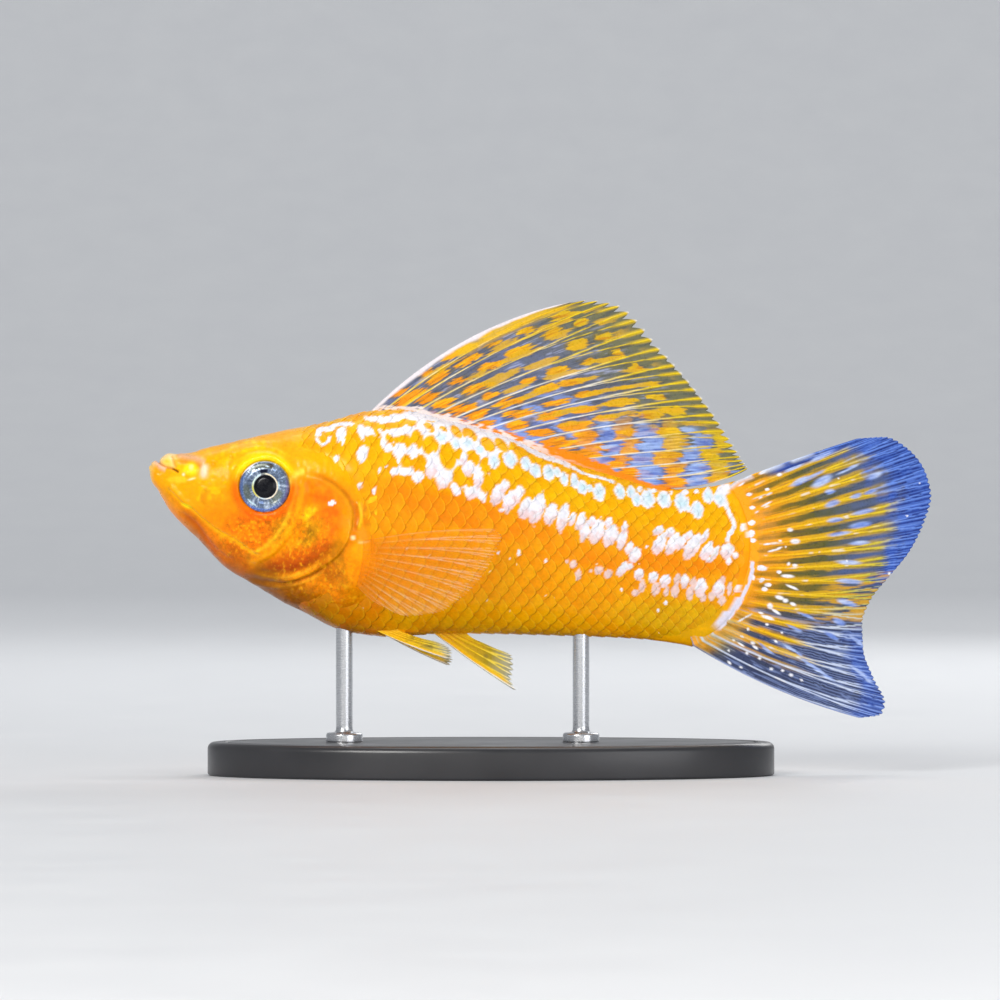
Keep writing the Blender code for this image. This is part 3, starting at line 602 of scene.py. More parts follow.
GILL_TOP = line((289, 486), (293, 478), (299, 472), (306, 471))
BRANCHES = [
    line((250, 572), (270, 577), (292, 575), (312, 567), (330, 555), (341, 540)),
    line((240, 578), (265, 586), (290, 586), (315, 577), (333, 562)),
]
NOSTRILS = [(-39.2, 37.2, 0.42), (-37.0, 38.1, 0.34)]


def flesh_colour(x, z):
    """The scaled body's ground colour."""
    low, high = belly_height(x), back_height(x)
    up = (z - low) / np.maximum(high - low, 0.1) + 0.03 * wander(x, z, 3.0, 11)
    p = Paint(graded(
        up, (0.0, 248, 158, 1), (0.12, 255, 161, 2), (0.3, 255, 161, 2), (0.45, 255, 158, 2),
        (0.6, 255, 160, 2), (0.78, 255, 184, 4), (1.0, 255, 182, 8),
    ), x, z)
    p.over((178, 84, 0), 0.75 * step(-15.0, -27.0, x) * step(0.45, 0.1, up))
    p.over((255, 178, 4), 0.8 * step(-21.0, -16.0, x) * step(0.22, 0.06, up) * step(10, 2, x))
    p.over((128, 96, 8), 0.5 * step(-20.0, -24.0, x) * step(0.08, 0.02, up))
    p.spots(
        ((255, 138, 0), 0.8, 470, 515, 100, 16, -16, 0.9),
        ((255, 138, 0), 0.8, 650, 562, 90, 11, -4, 0.9),
        ((218, 168, 2), 0.8, 690, 622, 70, 22, -6, 0.9),
        ((255, 172, 0), 0.7, 700, 518, 60, 14, 0, 0.9),
    )
    return p.over(ORANGE_RED, 0.35 * np.maximum(wander(x, z, 2.2, 12), 0) * step(-8, -20, x)).colour


# The pearly marks: a tint, a lean, and (across, down, half width, half height) on the photograph.
PEARLS = [
    ("white", 0.1, [
        (340.9, 434, 5, 7.5), (343, 441, 1.8, 4), (362.7, 453.5, 6, 8.5), (336.5, 458.9, 2.8, 3.6),
        (368.4, 429.4, 8.5, 6.5), (383.7, 441.7, 3, 6.5), (388.3, 447.8, 5, 4.5), (399.4, 450, 6.5, 8.5),
        (398.8, 458.5, 1.8, 5), (412.8, 451.6, 5.5, 7.5), (421.2, 452, 2.5, 2.5), (394.5, 471.5, 4.3, 4.3),
        (409, 471.5, 5, 4), (418.2, 476.5, 5.5, 6), (404.8, 471.8, 4, 4), (374.4, 490.6, 1.8, 3.6),
        (379.5, 470.4, 1.5, 3.2), (386.4, 466.9, 1.2, 1.2), (332, 503, 4.5, 2.2), (345, 423.8, 10, 2.2),
        (326, 428.6, 9, 2.4),
    ]),
    ("white", -0.35, [
        (360.8, 432.5, 3.2, 7), (400.6, 470.7, 2.6, 5), (318.5, 432, 2.5, 4), (455.8, 489.3, 4.5, 6.5),
        (481.3, 495.7, 4.5, 6),
    ]),
    ("rose", 0.05, [
        (431.9, 466.2, 6, 12.7), (443, 479.7, 7, 9.5), (471, 492.5, 6.8, 6.5), (478.2, 478.2, 4.8, 10.5),
        (468.6, 468.6, 7, 7.5), (463.8, 459, 3.5, 7), (360, 485.7, 2.3, 3.4),
    ]),
    ("rose", 0.24, [
        (497.3, 494.1, 6.4, 11), (503.7, 486.1, 5, 6.5), (510, 500.5, 6.8, 11.5), (518, 494.1, 5.2, 9.5),
        (501.3, 510, 3, 2.2), (526, 508.5, 7.2, 10.5), (537.2, 508.5, 7.2, 16), (550.7, 514, 6.4, 11),
        (562.7, 518, 5.6, 14), (572.2, 518.8, 3.5, 6.5), (580.5, 522, 4.6, 9), (584.9, 531.9, 5, 10),
        (591.5, 521.6, 3.6, 5.5), (597, 531, 7, 12.5), (608.4, 523.1, 3.5, 6.5), (610.8, 534.8, 7.2, 11.5),
        (624.5, 527.5, 2.8, 6.5), (621.8, 539.2, 4.8, 11), (629, 548, 4, 6), (634.8, 555.4, 6, 7.5),
    ]),
    ("rose", 0.45, [
        (622.3, 569.3, 4.5, 7.5), (629, 567, 4, 3.4), (658.3, 530.4, 5.5, 5), (659.5, 543.6, 6.4, 11.5),
        (669.3, 532.5, 5, 5.5), (673, 543.6, 6.4, 11.5), (681.8, 542.1, 3.8, 8.5), (688.4, 535.5, 3.8, 5),
        (692.5, 546.5, 7.2, 13), (704.5, 536.3, 3.6, 7), (706.7, 551.7, 6, 9.5), (714.8, 553.1, 3.8, 6.5),
        (709.6, 559.8, 4, 3.2), (646.5, 546.6, 1.5, 1.6),
    ]),
    ("rose", 0.1, [
        (727.2, 551, 6.6, 7.5), (728.7, 561.2, 3, 4.5), (735.3, 555.3, 3, 3.8), (639.2, 574.4, 4.6, 6.2),
        (653.1, 577.4, 4.8, 6), (664.9, 581, 5.2, 6.6), (684.7, 581, 4.2, 7.2), (700.8, 587.6, 6, 9.2),
        (719.2, 589.1, 6.2, 9), (738.2, 589.1, 3.3, 4.6),
    ]),
    ("pink", 0.1, [
        (642.1, 586.2, 3, 6.5), (655.4, 589.1, 4, 6.8), (666.4, 591.3, 2.5, 5), (677.4, 578.8, 3.5, 6),
        (675.2, 590.6, 4, 6.5), (693.5, 583.2, 3.4, 6), (689.8, 593.5, 3.5, 7), (703, 597.9, 3.2, 4.2),
        (711.8, 596.4, 3, 5), (722.8, 580.3, 3, 4.2), (722.1, 600.8, 4, 4.6), (729.4, 589.1, 2.3, 7),
        (573.2, 564.2, 3.4, 4.2), (578.3, 574.4, 2.8, 6), (598.4, 570.3, 4.6, 4.2), (608.1, 573.7, 4, 4.6),
        (635.5, 592.8, 3.6, 3.4), (591.1, 570.3, 1.4, 1.6), (566.6, 561.2, 1.5, 2),
    ]),
    ("cyan", -0.1, [
        (510, 459, 6.8, 9), (494.1, 461.4, 5.4, 7.5), (479.7, 449.4, 5, 6), (468.6, 443.1, 6.4, 6.5),
        (455.8, 443.1, 4.5, 6.5), (441.5, 436.7, 6.8, 7.5), (526, 463, 5, 7.5), (535.6, 470.2, 5.6, 7.5),
        (549.1, 472.6, 6.2, 8.2), (557.1, 471.8, 4, 5.5), (564.3, 478.9, 4.4, 7), (574.6, 481.3, 4.4, 8),
        (582.6, 487.7, 5.8, 7.4), (590, 488, 3, 4), (599.4, 492, 6.2, 9.6), (620.1, 491.5, 5.6, 7.5),
        (631.1, 492, 4.5, 6), (636.6, 499.6, 5.2, 7), (648, 498.9, 7.4, 9.6), (664.2, 499.6, 7.2, 9),
        (681.8, 501.8, 7.4, 10), (688.4, 508.4, 3, 3.2), (697.2, 509.1, 6.6, 8.8), (708.2, 495.9, 5.6, 8),
        (719.9, 498.9, 7, 7.6),
    ]),
    ("white", 0.0, [
        (724.3, 488.6, 6.5, 6.5), (653.9, 490.8, 3, 2.5), (671.5, 493, 1.2, 2.5), (685.4, 492.3, 4, 3),
        (696.4, 491.5, 2.4, 2.2), (640, 489.3, 3, 3), (665.6, 603, 1.8, 2.6), (658.3, 610.4, 1.4, 2),
        (621.6, 589.8, 1.2, 2), (518.8, 553.1, 1.5, 3.4), (498, 553, 1.3, 1.3), (510, 558, 1.2, 1.2),
        (546, 561, 1.2, 2.2), (742.6, 527.5, 2.4, 4.2), (752.2, 523, 3.6, 2.6), (751.4, 533.3, 3.6, 3.8),
        (753.6, 540.4, 3, 2.4), (761.7, 567.8, 4.6, 3), (753.6, 577.4, 1.5, 3), (762.4, 579.6, 2.6, 2),
        (769, 584.7, 3, 2), (764.6, 589.1, 3, 2), (779.3, 572.2, 2.2, 1.4), (749.2, 494.5, 2.4, 1.8),
        (767.6, 489.3, 2, 1.4), (752.2, 507.7, 2.8, 1.9),
    ]),
]
# White bands over the nape, with their half widths in photograph pixels.
PEARL_BANDS = [
    (line(
        (315.7, 436.7), (318, 431.7), (323.3, 429), (330.2, 427.1), (336.3, 424.5), (346.3, 423.7), (352.4, 423.3),
    ), 1.7),
    (line((315.7, 436.7), (318.5, 442), (323, 444.5), (328, 441), (329, 436)), 1.4),
    (line(
        (362, 419), (373, 419.5), (384.5, 419.5), (396, 417.2), (407.5, 416.4), (413, 418), (421.2, 427.9),
        (427.4, 434.8),
    ), 3.6),
    (line((357, 427), (369, 429), (380.7, 431.7), (392.2, 431.7), (402, 430), (409, 429.4)), 4.4),
    (line((400, 414.4), (420.7, 416), (439.9, 418.5), (452.6, 418.5), (468.6, 423.9), (489.3, 430.3), (500, 434)), 3.6),
    (line((495, 432), (511.6, 438.3), (527.6, 447.8), (543.5, 455.8), (559.5, 460.6), (572.2, 467)), 2.7),
    (line((570, 466), (586, 474), (600.3, 477.5), (615.7, 482.7)), 1.3),
    (line((724.3, 500), (728.7, 511.3), (733.1, 520.1), (733.1, 529), (728.7, 534.8), (727.2, 543)), 2.2),
]
# Orange strips through the white of the nape, with their half widths in photograph pixels.
NAPE_STRIPS = [
    (line((350, 417.5), (360, 421), (370, 424), (384, 427), (396, 424.5), (406, 421.5), (418, 424)), 3.1),
    (line((372.5, 425), (376, 430), (379, 437)), 2.4),
    (line((385, 436), (396, 440), (410, 437)), 3.2),
]
# The net of white under the sail's front: its top and bottom, and the orange ovals in it.
NET_TOP = line((392, 413), (420, 415), (440, 418), (468, 423), (489, 430), (512, 440))
NET_LOW = line(
    (392, 440), (400, 466), (412, 469), (424, 472), (431, 476), (443, 481), (455, 485), (471, 490), (484, 492),
    (512, 512),
)
NET_END = line((514, 430), (506, 452), (494, 470), (486, 500))
NET_OVALS = [
    (411, 414.5, 5, 2, 0), (430, 419, 9.5, 2.8, -6), (428.7, 427.4, 6.5, 4.4, -40), (443, 429.5, 4.4, 3.4, -40),
    (456, 431.5, 8, 4.2, -52), (469.4, 434.6, 9, 5.6, -38), (487.7, 444.3, 9, 6, -45),
    (501.3, 444.5, 8.5, 4.8, -45), (502.5, 456.8, 4.6, 5.5, -20), (404.5, 441.5, 7.6, 7.4, 0),
    (417, 439.4, 6.6, 10.4, 0), (430.6, 444.9, 8.6, 10, -15), (447.8, 455.6, 8.6, 14.5, 8), (406.4, 460.8, 7, 8, 0),
    (419.3, 463.6, 8, 10.2, 0), (460.4, 476.2, 8, 11, 0), (470.4, 480, 6, 7.2, 0), (472, 458.4, 8.2, 8.6, 0),
    (486.3, 465.2, 6.6, 8.4, 0), (486.1, 482.9, 6.8, 9.6, 0), (459.3, 454, 4, 6.4, 0), (393, 455, 8, 12, 0),
    (497, 473, 7.5, 9, 0), (424, 478, 5, 7, 0), (453, 486, 4, 5, 0),
]


def pearls(x, z):
    """How white a place is, and how much of that is tinted cyan or pink."""
    shape = x.shape
    x, z = x.ravel(), z.ravel()
    white, cyan, pink = np.zeros((3, *x.shape))
    ragged = 0.12 * wander(x, z, 0.45, 22) + 0.12 * wander(x, z, 0.2, 23)
    for tint, lean, marks in PEARLS:
        for px, py, wide, tall in marks:
            cx, cz = at_photo(px, py)
            near = np.nonzero((np.abs(x - cx) < 0.18 * (wide + tall)) & (np.abs(z - cz) < 0.17 * tall))[0]
            up = (z[near] - cz) / PIXEL / tall
            across = ((x[near] - cx) / PIXEL - lean * up * tall) / wide
            off = (np.abs(across) ** 1.7 + np.abs(up) ** 1.7) ** (1 / 1.7) + ragged[near]
            inside = step(1.1, 0.94, off)
            white[near] = np.maximum(white[near], inside * (0.82 if tint == "pink" else 1.0))
            if tint == "cyan":
                cyan[near] = np.maximum(cyan[near], inside * step(1.0, 0.3, off))
            elif tint != "white":
                fade = step(0.2, -0.7, up + 3 * ragged[near]) if tint == "rose" else 0.9
                pink[near] = np.maximum(pink[near], inside * fade)
    for points, half in PEARL_BANDS:
        white = np.maximum(white, band(x, z, points, half, 2.4 * ragged))
    net = step(0.15, -0.15, z - np.interp(x, *NET_TOP.T)) * step(-0.15, 0.15, z - np.interp(x, *NET_LOW.T))
    net = net * step(0.15, -0.15, x - np.interp(-z, *(NET_END * [1, -1]).T[::-1])) * (x > NET_TOP[0, 0])
    for oval in NET_OVALS:
        net = net * (1 - spot(x + 0.12 * ragged, z, *oval, 0.2))
    white = np.maximum(white, net)
    for points, half in NAPE_STRIPS:
        white = white * (1 - band(x, z, points, half, 2.0 * ragged))
    return [found.reshape(shape) for found in (white, cyan, pink)]


TAIL_EDGE = line(
    (752.2, 560), (752.6, 568), (751.4, 576), (748.6, 584), (743.4, 595), (736, 605.2), (724.3, 619.9),
    (712.6, 630.2),
)


def marked(colour, x, z):
    """Adds the pearly marks to a colour, and the pale arc where the tail's lower rays begin."""
    white, cyan, pink = pearls(x, z)
    tone = Paint(PEARL_WHITE, x, z).over(PEARL_CYAN, cyan * (0.8 + 0.3 * wander(x, z, 0.5, 25)))
    tone = tone.over(PEARL_ROSE, pink * 0.85).colour * (1 - 0.07 * wander(x, z, 0.3, 24)[..., None])
    gap, _, along = from_line(x, z, TAIL_EDGE)
    half = 0.2 + 0.3 * step(0.5, 0.75, along)
    arc = step(1.1, 0.8, gap / half + 0.4 * wander(x, z, 0.5, 31))
    arc = arc * np.minimum(step(0, 0.05, along), step(1, 0.9, along))
    return Paint(colour, x, z).over(tone, white).over((226, 224, 244), 0.95 * arc).colour


def skin_colour(x, z):
    """The bare skin's colour: head, gill covers, throat, and what shows between the scales."""
    patchy = wander(x, z, 0.9, 41) + 0.6 * wander(x, z, 0.4, 42)
    grains = wander(x, z, 0.26, 45) + 0.6 * wander(x, z, 0.14, 46)
    above_belly = z - belly_height(x)
    bare = Paint(graded(
        z + 0.35 * (x + 35),
        (22, 225, 128, 0), (28, 250, 140, 0), (33, 252, 152, 2), (37, 252, 172, 4), (42, 252, 174, 20),
    ), x, z)
    bare.spots(((255, 185, 6), 0.7, 190, 478, 34, 26, 0, 1.2))
    p = Paint(flesh_colour(x, z), x, z).over(bare.colour, step(-25.5, -28.5, x + 0.25 * (z - 33)))
    cheek = spot(x, z, 252, 533, 36, 20, 18, 0.8)
    p.over((232, 104, 0), cheek * (0.75 + 0.5 * patchy))
    p.over((180, 100, 0), 0.7 * cheek * step(0.1, 0.8, patchy))
    p.spots(
        ((190, 118, 0), 0.75, 283, 522, 9, 24, -22, 0.8),
        (ORANGE_RED, 0.75, 262, 514, 30, 6, 6, 1.0),
        ((250, 112, 4), 0.8 + 0.35 * patchy, 316, 512, 27, 36, 12, 0.5),
        ((214, 88, 0), 0.8, 300, 557, 34, 10, 22, 0.7),
    )
    p.marks(((176, 62, 0), 0.9 * (0.95 + 0.3 * patchy), GILL_LOW, 0.75, 0.15))
    p.spots(
        ((214, 138, 2), 0.75 + 0.5 * patchy, 307, 533, 20, 13, 38, 0.9),
        ((130, 82, 0), 0.8 * step(-0.3, 0.5, patchy), 303, 536, 12, 6, 30, 1.2),
        ((255, 215, 20), 0.8 + 0.6 * patchy, 308, 512, 10, 5.5, 35, 0.9),
    )
    p.marks(
        ((255, 150, 8), 0.9, GILL_EDGE, 0.75, 0.05),
        ((255, 176, 20), 0.7, GILL_EDGE, 0.22, 0.05),
        # Painted shade: a darker line just behind the gill cover's edge.
        ((190, 84, 0), 0.55 * step(-31, -26, x), GILL_EDGE, 0.3, 0.1, -0.45, 0.1),
    )
    for points in BRANCHES:
        p.marks(((255, 176, 30), 0.8, points, 0.2), ((160, 70, 0), 0.6, points, 0.3, 0.12, 0, -0.5))
    throat = step(-0.1, -2.4, np.minimum(above_belly - 4.6, 0)) * step(-40, -33, x)
    p.over((150, 84, 0), 0.8 * throat * step(-18, -24, x))
    p.over((124, 66, 0), 0.7 * step(2.2, 0.3, above_belly) * step(-44, -40, x) * step(-26, -30, x))
    p.marks(
        ((255, 160, 4), 0.9, CHEEK_EDGE, 0.5),
        ((255, 190, 30), 0.7, CHEEK_INNER, 0.25),
        # Painted highlight: a lemon line along the gill cover's upper front edge.
        ((255, 240, 90), 0.9 + 0.6 * patchy, GILL_TOP, 0.38),
    )
    glow = bell(np.hypot(x - EYE_AT[0], z - EYE_AT[1]), EYE_RADIUS + 0.45, 0.5)
    above_eye = step(-0.5, 2.5, z - EYE_AT[1])
    p.over((255, 226, 10), glow * above_eye)
    p.over((255, 98, 0), 0.8 * glow * (1 - above_eye))
    for points in BROWS:
        p.marks(((255, 214, 20), 0.8 * (0.8 + 0.6 * patchy), points, 0.3))
    p.spots(((255, 205, 10), 0.6 * step(-0.2, 0.5, patchy), 215, 478, 16, 26, -10, 1.0))
    p.marks(((240, 172, 120), 0.4 * step(0.4, -0.3, z - back_height(x) + 0.7), BRIDGE, 0.35))
    p.spots(((255, 190, 10), 0.8, 187, 468, 12, 11, 0, 0.9))
    p.marks(
        ((236, 178, 132), 0.9, MAXILLA, 0.36, 0.08),
        ((226, 120, 20), 0.6, MAXILLA, 0.26, 0.2, 0, 0.55),
        ((250, 222, 186), 1.3, MAXILLA_END, 0.42, 0.35),
    )
    p.spots(
        ((255, 228, 20), 1.0, 191, 469, 6.5, 6, 0, 1.0),
        # This row and the next two are painted highlights: a pale spot in the yellow blob and two small glints below
        # it.
        ((255, 246, 150), 0.8, 191.7, 467.6, 2.2, 2.6, 0, 1.3),
        ((255, 236, 170), 0.8, 191.5, 479.3, 3.8, 0.9, 14, 1.2),
        ((255, 246, 200), 0.8, 184, 474.8, 1.4, 1.3, 0, 1.2),
        ((255, 208, 40), 0.9, 178, 479.5, 9, 3.5, 0, 1.0),
        ((255, 196, 36), 0.9, 168.5, 461, 6, 5, 0, 0.8),
    )
    # Painted highlights: a pale line beside the upper lip's crease, and a pale streak below the lip's bulb.
    p.marks(((255, 228, 150), 0.6, LIP_CREASE, 0.3, 0.15, 0.25, 0))
    p.spots(((255, 220, 120), 0.5, 168, 465.5, 6, 2.2, -16, 1.4))
    # Painted highlight: pale cream along the top of the upper lip's bulb.
    p.over((255, 226, 160), 0.8 * step(1.1, 0.3, back_height(x) - z) * step(-43.4, -44.0, x) * step(-45.9, -45.4, x))
    p.marks(((222, 150, 20), 0.7, LIP_CREASE, 0.11, 0.1), ((246, 196, 160), 0.95, LOW_LIP, 0.3, 0.06))
    p.over((255, 214, 110), 0.8 * step(-46.0, -46.7, x) * step(38.0, 37.0, z))
    p.marks(
        ((196, 110, 30), 0.6, MOUTH, 0.1, 0.05),
        ((96, 38, 0), 0.95, MOUTH_DARK, 0.1, 0.35),
        ((214, 104, 0), 0.6, JAW_FOLD, 0.3, 0.12, 0, 0.35),
        ((255, 186, 12), 0.8, JAW_FOLD, 0.3, 0.12, 0, -0.05),
    )
    # Painted highlight: a yellow spot on the jaw fold.
    p.spots(((255, 226, 20), 0.9, 187, 505.5, 5.5, 2.2, -18, 1.0))
    p.marks(((196, 84, 0), 0.85, JAW_FOLD_LOW, 0.5, 0.2))
    p.spots(((196, 96, 0), 0.85 * (0.9 + 0.4 * patchy), 232, 557, 24, 9, -42, 0.8))
    p.marks(((255, 206, 20), 0.6, CHEEK_VEE[0], 0.25), ((232, 140, 6), 0.6, CHEEK_VEE[1], 0.25))
    p.spots(((236, 146, 4), 0.7, 204, 499, 3, 7, 10, 1.0))
    for px, pz, radius in NOSTRILS:
        p.over((226, 130, 4), 0.5 * bell(np.hypot(x - px, z - pz), 0, radius * 0.7))
    p.spots(
        # This row and the next are painted shadow left of the breast fin's fleshy root, mottled brown.
        ((190, 100, 0), 0.9 * (0.9 + 0.4 * patchy), 334, 564, 16, 20, -20, 0.9),
        ((206, 128, 4), 0.9 * (0.8 + 0.5 * patchy), 340, 553, 7, 15, 8, 0.9),
        ((250, 144, 3), 1.0, 356, 560, 10, 27, 4, 0.7),
        ((255, 176, 10), 0.7, 360, 548, 7, 10, 4, 1.0),
        # This row and the next are painted highlights on the top of that root.
        ((255, 232, 170), 0.9, 353.4, 536.8, 2.4, 1.8, -20, 1.1),
        ((255, 222, 140), 0.7, 362, 541.5, 5, 1.0, -8, 1.1),
    )
    grainy = cheek + spot(x, z, 306, 535, 26, 26, 20, 0.9) + spot(x, z, 325, 585, 60, 26, -28, 1.0)
    grainy = np.clip(grainy, 0, 1)
    p.over((255, 190, 24), 0.55 * grainy * step(0.25, 1.1, grains))
    p.over((176, 76, 0), 0.4 * grainy * step(0.25, 1.1, -grains))
    # Each fold gets a darker orange line and, just behind it, a bright yellow painted highlight along the fold's crest.
    for points in FOLDS:
        p.marks(((216, 100, 0), 0.75, points, 0.25), ((255, 214, 30), 0.85, points, 0.2, 0.12, -0.32, 0))
    shade = 1 + 0.07 * wander(x, z, 1.6, 43) + 0.05 * wander(x, z, 0.5, 44)
    return marked(np.clip(p.colour * shade[..., None], 0, 1), x, z)


def dappling(x, z):
    """How mottled the bare skin is, from 0 to 1."""
    cheek = spot(x, z, 252, 533, 44, 24, 18, 1.0)
    gill = spot(x, z, 306, 530, 26, 24, 20, 0.9)
    chest = spot(x, z, 320, 585, 60, 26, 20, 1.0)
    return np.clip(0.12 + 0.75 * cheek + 0.8 * gill + 0.6 * chest, 0, 0.9)


# The skin's relief

# Each ridge's height, line and width, and maybe its taper and its shift in x and z. Grooves are under 0.
RIDGES = [
    (-0.26, MOUTH, 0.15, 0.03),
    (-0.1, MOUTH_DARK, 0.14, 0.3),
    (-0.2, LIP_CREASE, 0.16),
    (0.15, LOW_LIP, 0.3, 0.1),
    (0.16, MAXILLA, 0.36),
    (-0.1, MAXILLA, 0.26, 0.12, 0.1, 0.6),
    (0.22, MAXILLA_END, 0.5, 0.4),
    (-0.22, JAW_FOLD, 0.24),
    (0.2, JAW_FOLD, 0.4, 0.12, 0, -0.5),
    (-0.12, JAW_FOLD_LOW, 0.3),
    (0.1, GILL_EDGE, 0.35),
    (-0.08, GILL_INNER, 0.4),
    (0.16, CHEEK_EDGE, 0.5),
    (-0.22, CHEEK_EDGE, 0.4, 0.12, -0.75, 0.2),
    (0.1, CHEEK_INNER, 0.25),
    (0.12, GILL_TOP, 0.35),
    *((0.08, points, 0.25) for points in CHEEK_VEE),
    *((0.06, points, 0.22) for points in BROWS),
    *((0.12, points, 0.25) for points in BRANCHES),
    *((-0.1, points, 0.3, 0.12, 0, -0.5) for points in BRANCHES),
    *((0.2, points, 0.3, 0.12, -0.2, 0) for points in FOLDS),
]
# Each bump's height and what spot() reads: upper lip, chin, forehead, maxilla twice, the breast fin's root twice.
BUMPS = [
    (0.2, 168.5, 461.5, 8, 7, 0, 1.4),
    (0.28, 154.5, 477.5, 6, 9, 0, 1.5),
    (0.3, 206, 449, 15, 12, 15, 1.7),
    (0.16, 189, 469, 7, 6, 0, 1.4),
    (0.05, 191, 480, 4, 2, 12, 1.0),
    (0.75, 351, 557, 13, 30, 4, 1.5),
    (0.3, 352, 538, 5, 4, 0, 1.4),
]


def bare_share(x, z):
    """How far inside the scaled part of the body a place is, in mm; under 0 it is bare."""
    from_gill = np.hypot(x - GILL_AT[0], z - GILL_AT[1]) - 8.0
    from_front = x + 30.6 - 0.25 * np.maximum(z - 38, 0)
    from_lobe = (np.hypot((x + 23.1) / 2.0, (z - 26.2) / 3.4) - 1) * 2
    from_tail = np.where(x > TAIL_AT[0], 12.2 - np.hypot(x - TAIL_AT[0], z - TAIL_AT[1]), 9.0)
    return np.minimum(np.minimum(from_gill, from_front), np.minimum(from_lobe, from_tail))


def gill_cover(x, z):
    """The gill cover's height over the body up to its edge, and the groove behind it."""
    gap, side, along = from_line(x, z, GILL_EDGE)
    beyond = gap * np.where(side > 0, 1, -1)
    blunt = 0.12 + 0.34 * step(29.5, 32.5, z)
    cover = 0.36 * np.exp(-np.maximum(-beyond, 0) / 2.2) * step(blunt, -blunt, beyond)
    groove = -0.11 * np.exp(-np.maximum(beyond, 0) / 0.8) * step(-blunt, blunt, beyond)
    ends = step(-0.01, 0.12, along) * step(1.01, 0.85, along)
    return (cover + groove) * ends * step(10.5, 9.0, np.hypot(x - GILL_AT[0], z - GILL_AT[1]))


def relief(x, z):
    """How far the skin stands out of the plain body."""
    from_eye = np.hypot(x - EYE_AT[0], z - EYE_AT[1])
    high = 0.3 * bell(from_eye, EYE_RADIUS + 0.5, 0.55)
    high -= 1.2 * step(EYE_RADIUS + 0.12, EYE_RADIUS - 0.5, from_eye)
    high += 0.12 * bell(from_line(x, z, MOUTH)[0], 0, 0.7)
    for height, points, width, *rest in RIDGES:
        taper, dx, dz = [*rest, *MARK_REST[len(rest):]]
        high += height * mark(x + dx, z + dz, points, width, taper)
    for height, *place in BUMPS:
        high += height * spot(x, z, *place)
    for px, pz, radius in NOSTRILS:
        away = np.hypot(x - px, z - pz)
        high += 0.04 * bell(away, radius + 0.15, 0.18) - 0.14 * bell(away, 0, radius * 0.75, 4)
    high += gill_cover(x, z)
    high += step(-20, -26, x) * (0.035 * wander(x, z, 0.9, 51) + 0.02 * wander(x, z, 0.4, 52))
    return high - SCALE_DEPTH * step(-0.3, 2.4, bare_share(x, z))


# The skin

AROUND = 140  # steps from the back to the belly
TAIL_BEND_X = 12.0  # from here on the rings bend towards the tail's root
TAIL_SHUT = 0.94  # and from this share of the rest on they close
THROAT_FOLD = 0.62
FLESH_NODES = ["head", "upper_jaw", "lower_jaw", "gill_cover_left", "gill_cover_right", "trunk", "tail_stalk"]


def tail_x(z):
    """Where the tail's root arc is at a height."""
    return TAIL_AT[0] + np.sqrt(np.maximum(TAIL_ROUND**2 - (z - TAIL_AT[1]) ** 2, 0.2))


def both_sides(values):
    """Carries the right side's rows on round the left side, from belly to back."""
    return np.concatenate([values, values[:, 1:-1][:, ::-1]], axis=1)


def skin_side():
    """The right side of the skin: its places row by row from nose to tail, its colours and its dappling."""
    stations = np.concatenate([
        np.linspace(SNOUT_X, -40.0, 90, endpoint=False), np.linspace(-40.0, -21.0, 176, endpoint=False),
        np.linspace(-21.0, BODY_END_X, 72),
    ])
    x, share = np.meshgrid(stations, np.linspace(0, 1, AROUND + 1), indexing="ij")
    pace = (stations[:, None] - TAIL_BEND_X) / (BODY_END_X - TAIL_BEND_X)
    for _ in range(8):
        z = body_point(x, share)[..., 2]
        x = np.where(pace > 0, TAIL_BEND_X + pace * (tail_x(z) + 0.3 - TAIL_BEND_X), x)
    place, out = body_surface(x, share)
    x, z = place[..., 0], place[..., 2]
    fade = step(0.0, 0.12, np.sin(share * math.pi)) * 0.5 + 0.5
    place = place + out * (relief(x, z) * fade)[..., None]
    place[..., 2] -= THROAT_FOLD * bell(x, -38.0, 2.3) * step(4.5, 0.0, z - belly_height(x))
    place[..., 1] *= np.where(pace > TAIL_SHUT, 0.35 + 0.65 * step(1.0, TAIL_SHUT, pace), 1.0)
    place[:, [0, -1], 1] = 0
    return place, skin_colour(x, z), dappling(x, z)


def skin():
    """One closed mesh for all the flesh, with a small cap at the mouth."""
    place, colours, dapples = skin_side()
    whole, colours, dapples = (both_sides(values) for values in (place, colours, dapples))
    whole[:, AROUND + 1:, 1] *= -1
    first = whole[0].mean(0)
    caps = [first + (whole[0] - first) * grown + [back, 0, 0] for grown, back in ((0.5, -0.08), (0.85, -0.05))]
    whole = np.concatenate([caps, whole])
    colours, dapples = (np.concatenate([values[:1], values[:1], values]) for values in (colours, dapples))
    rows, columns = whole.shape[:2]
    verts = np.vstack([whole.reshape(-1, 3), whole[0].mean(0) + [-0.005, 0, 0], whole[-1].mean(0)])
    colours = np.vstack([colours.reshape(-1, 3), colours[0, :1], colours[-1, :1]])
    lay = np.concatenate([dapples.ravel(), [0.0, 0.0]])[:, None] * [1.0, 0.0, 0.0]
    across, down = np.arange(columns) / columns, np.linspace(0.01, 0.99, rows)
    low, start = np.meshgrid(down[:-1], across, indexing="ij")
    high, end = np.meshgrid(down[1:], across + 1 / columns, indexing="ij")
    uv = np.stack([np.stack(p, axis=-1) for p in ((low, start), (high, start), (high, end), (low, end))], axis=2)
    pole_uv = []
    for k in across:
        after = k + 1 / columns
        pole_uv += [(0.005, k), (0.01, k), (0.01, after), (0.995, k), (0.99, after), (0.99, k)]
    uv = np.vstack([uv.reshape(-1, 2), pole_uv])
    faces = ring_faces(rows, columns).tolist() + pole_faces(rows, columns)
    return piece("fish_skin", verts, faces, FLESH_NODES, flesh_material("wet_skin"), colours, lay, uv)


# The scales

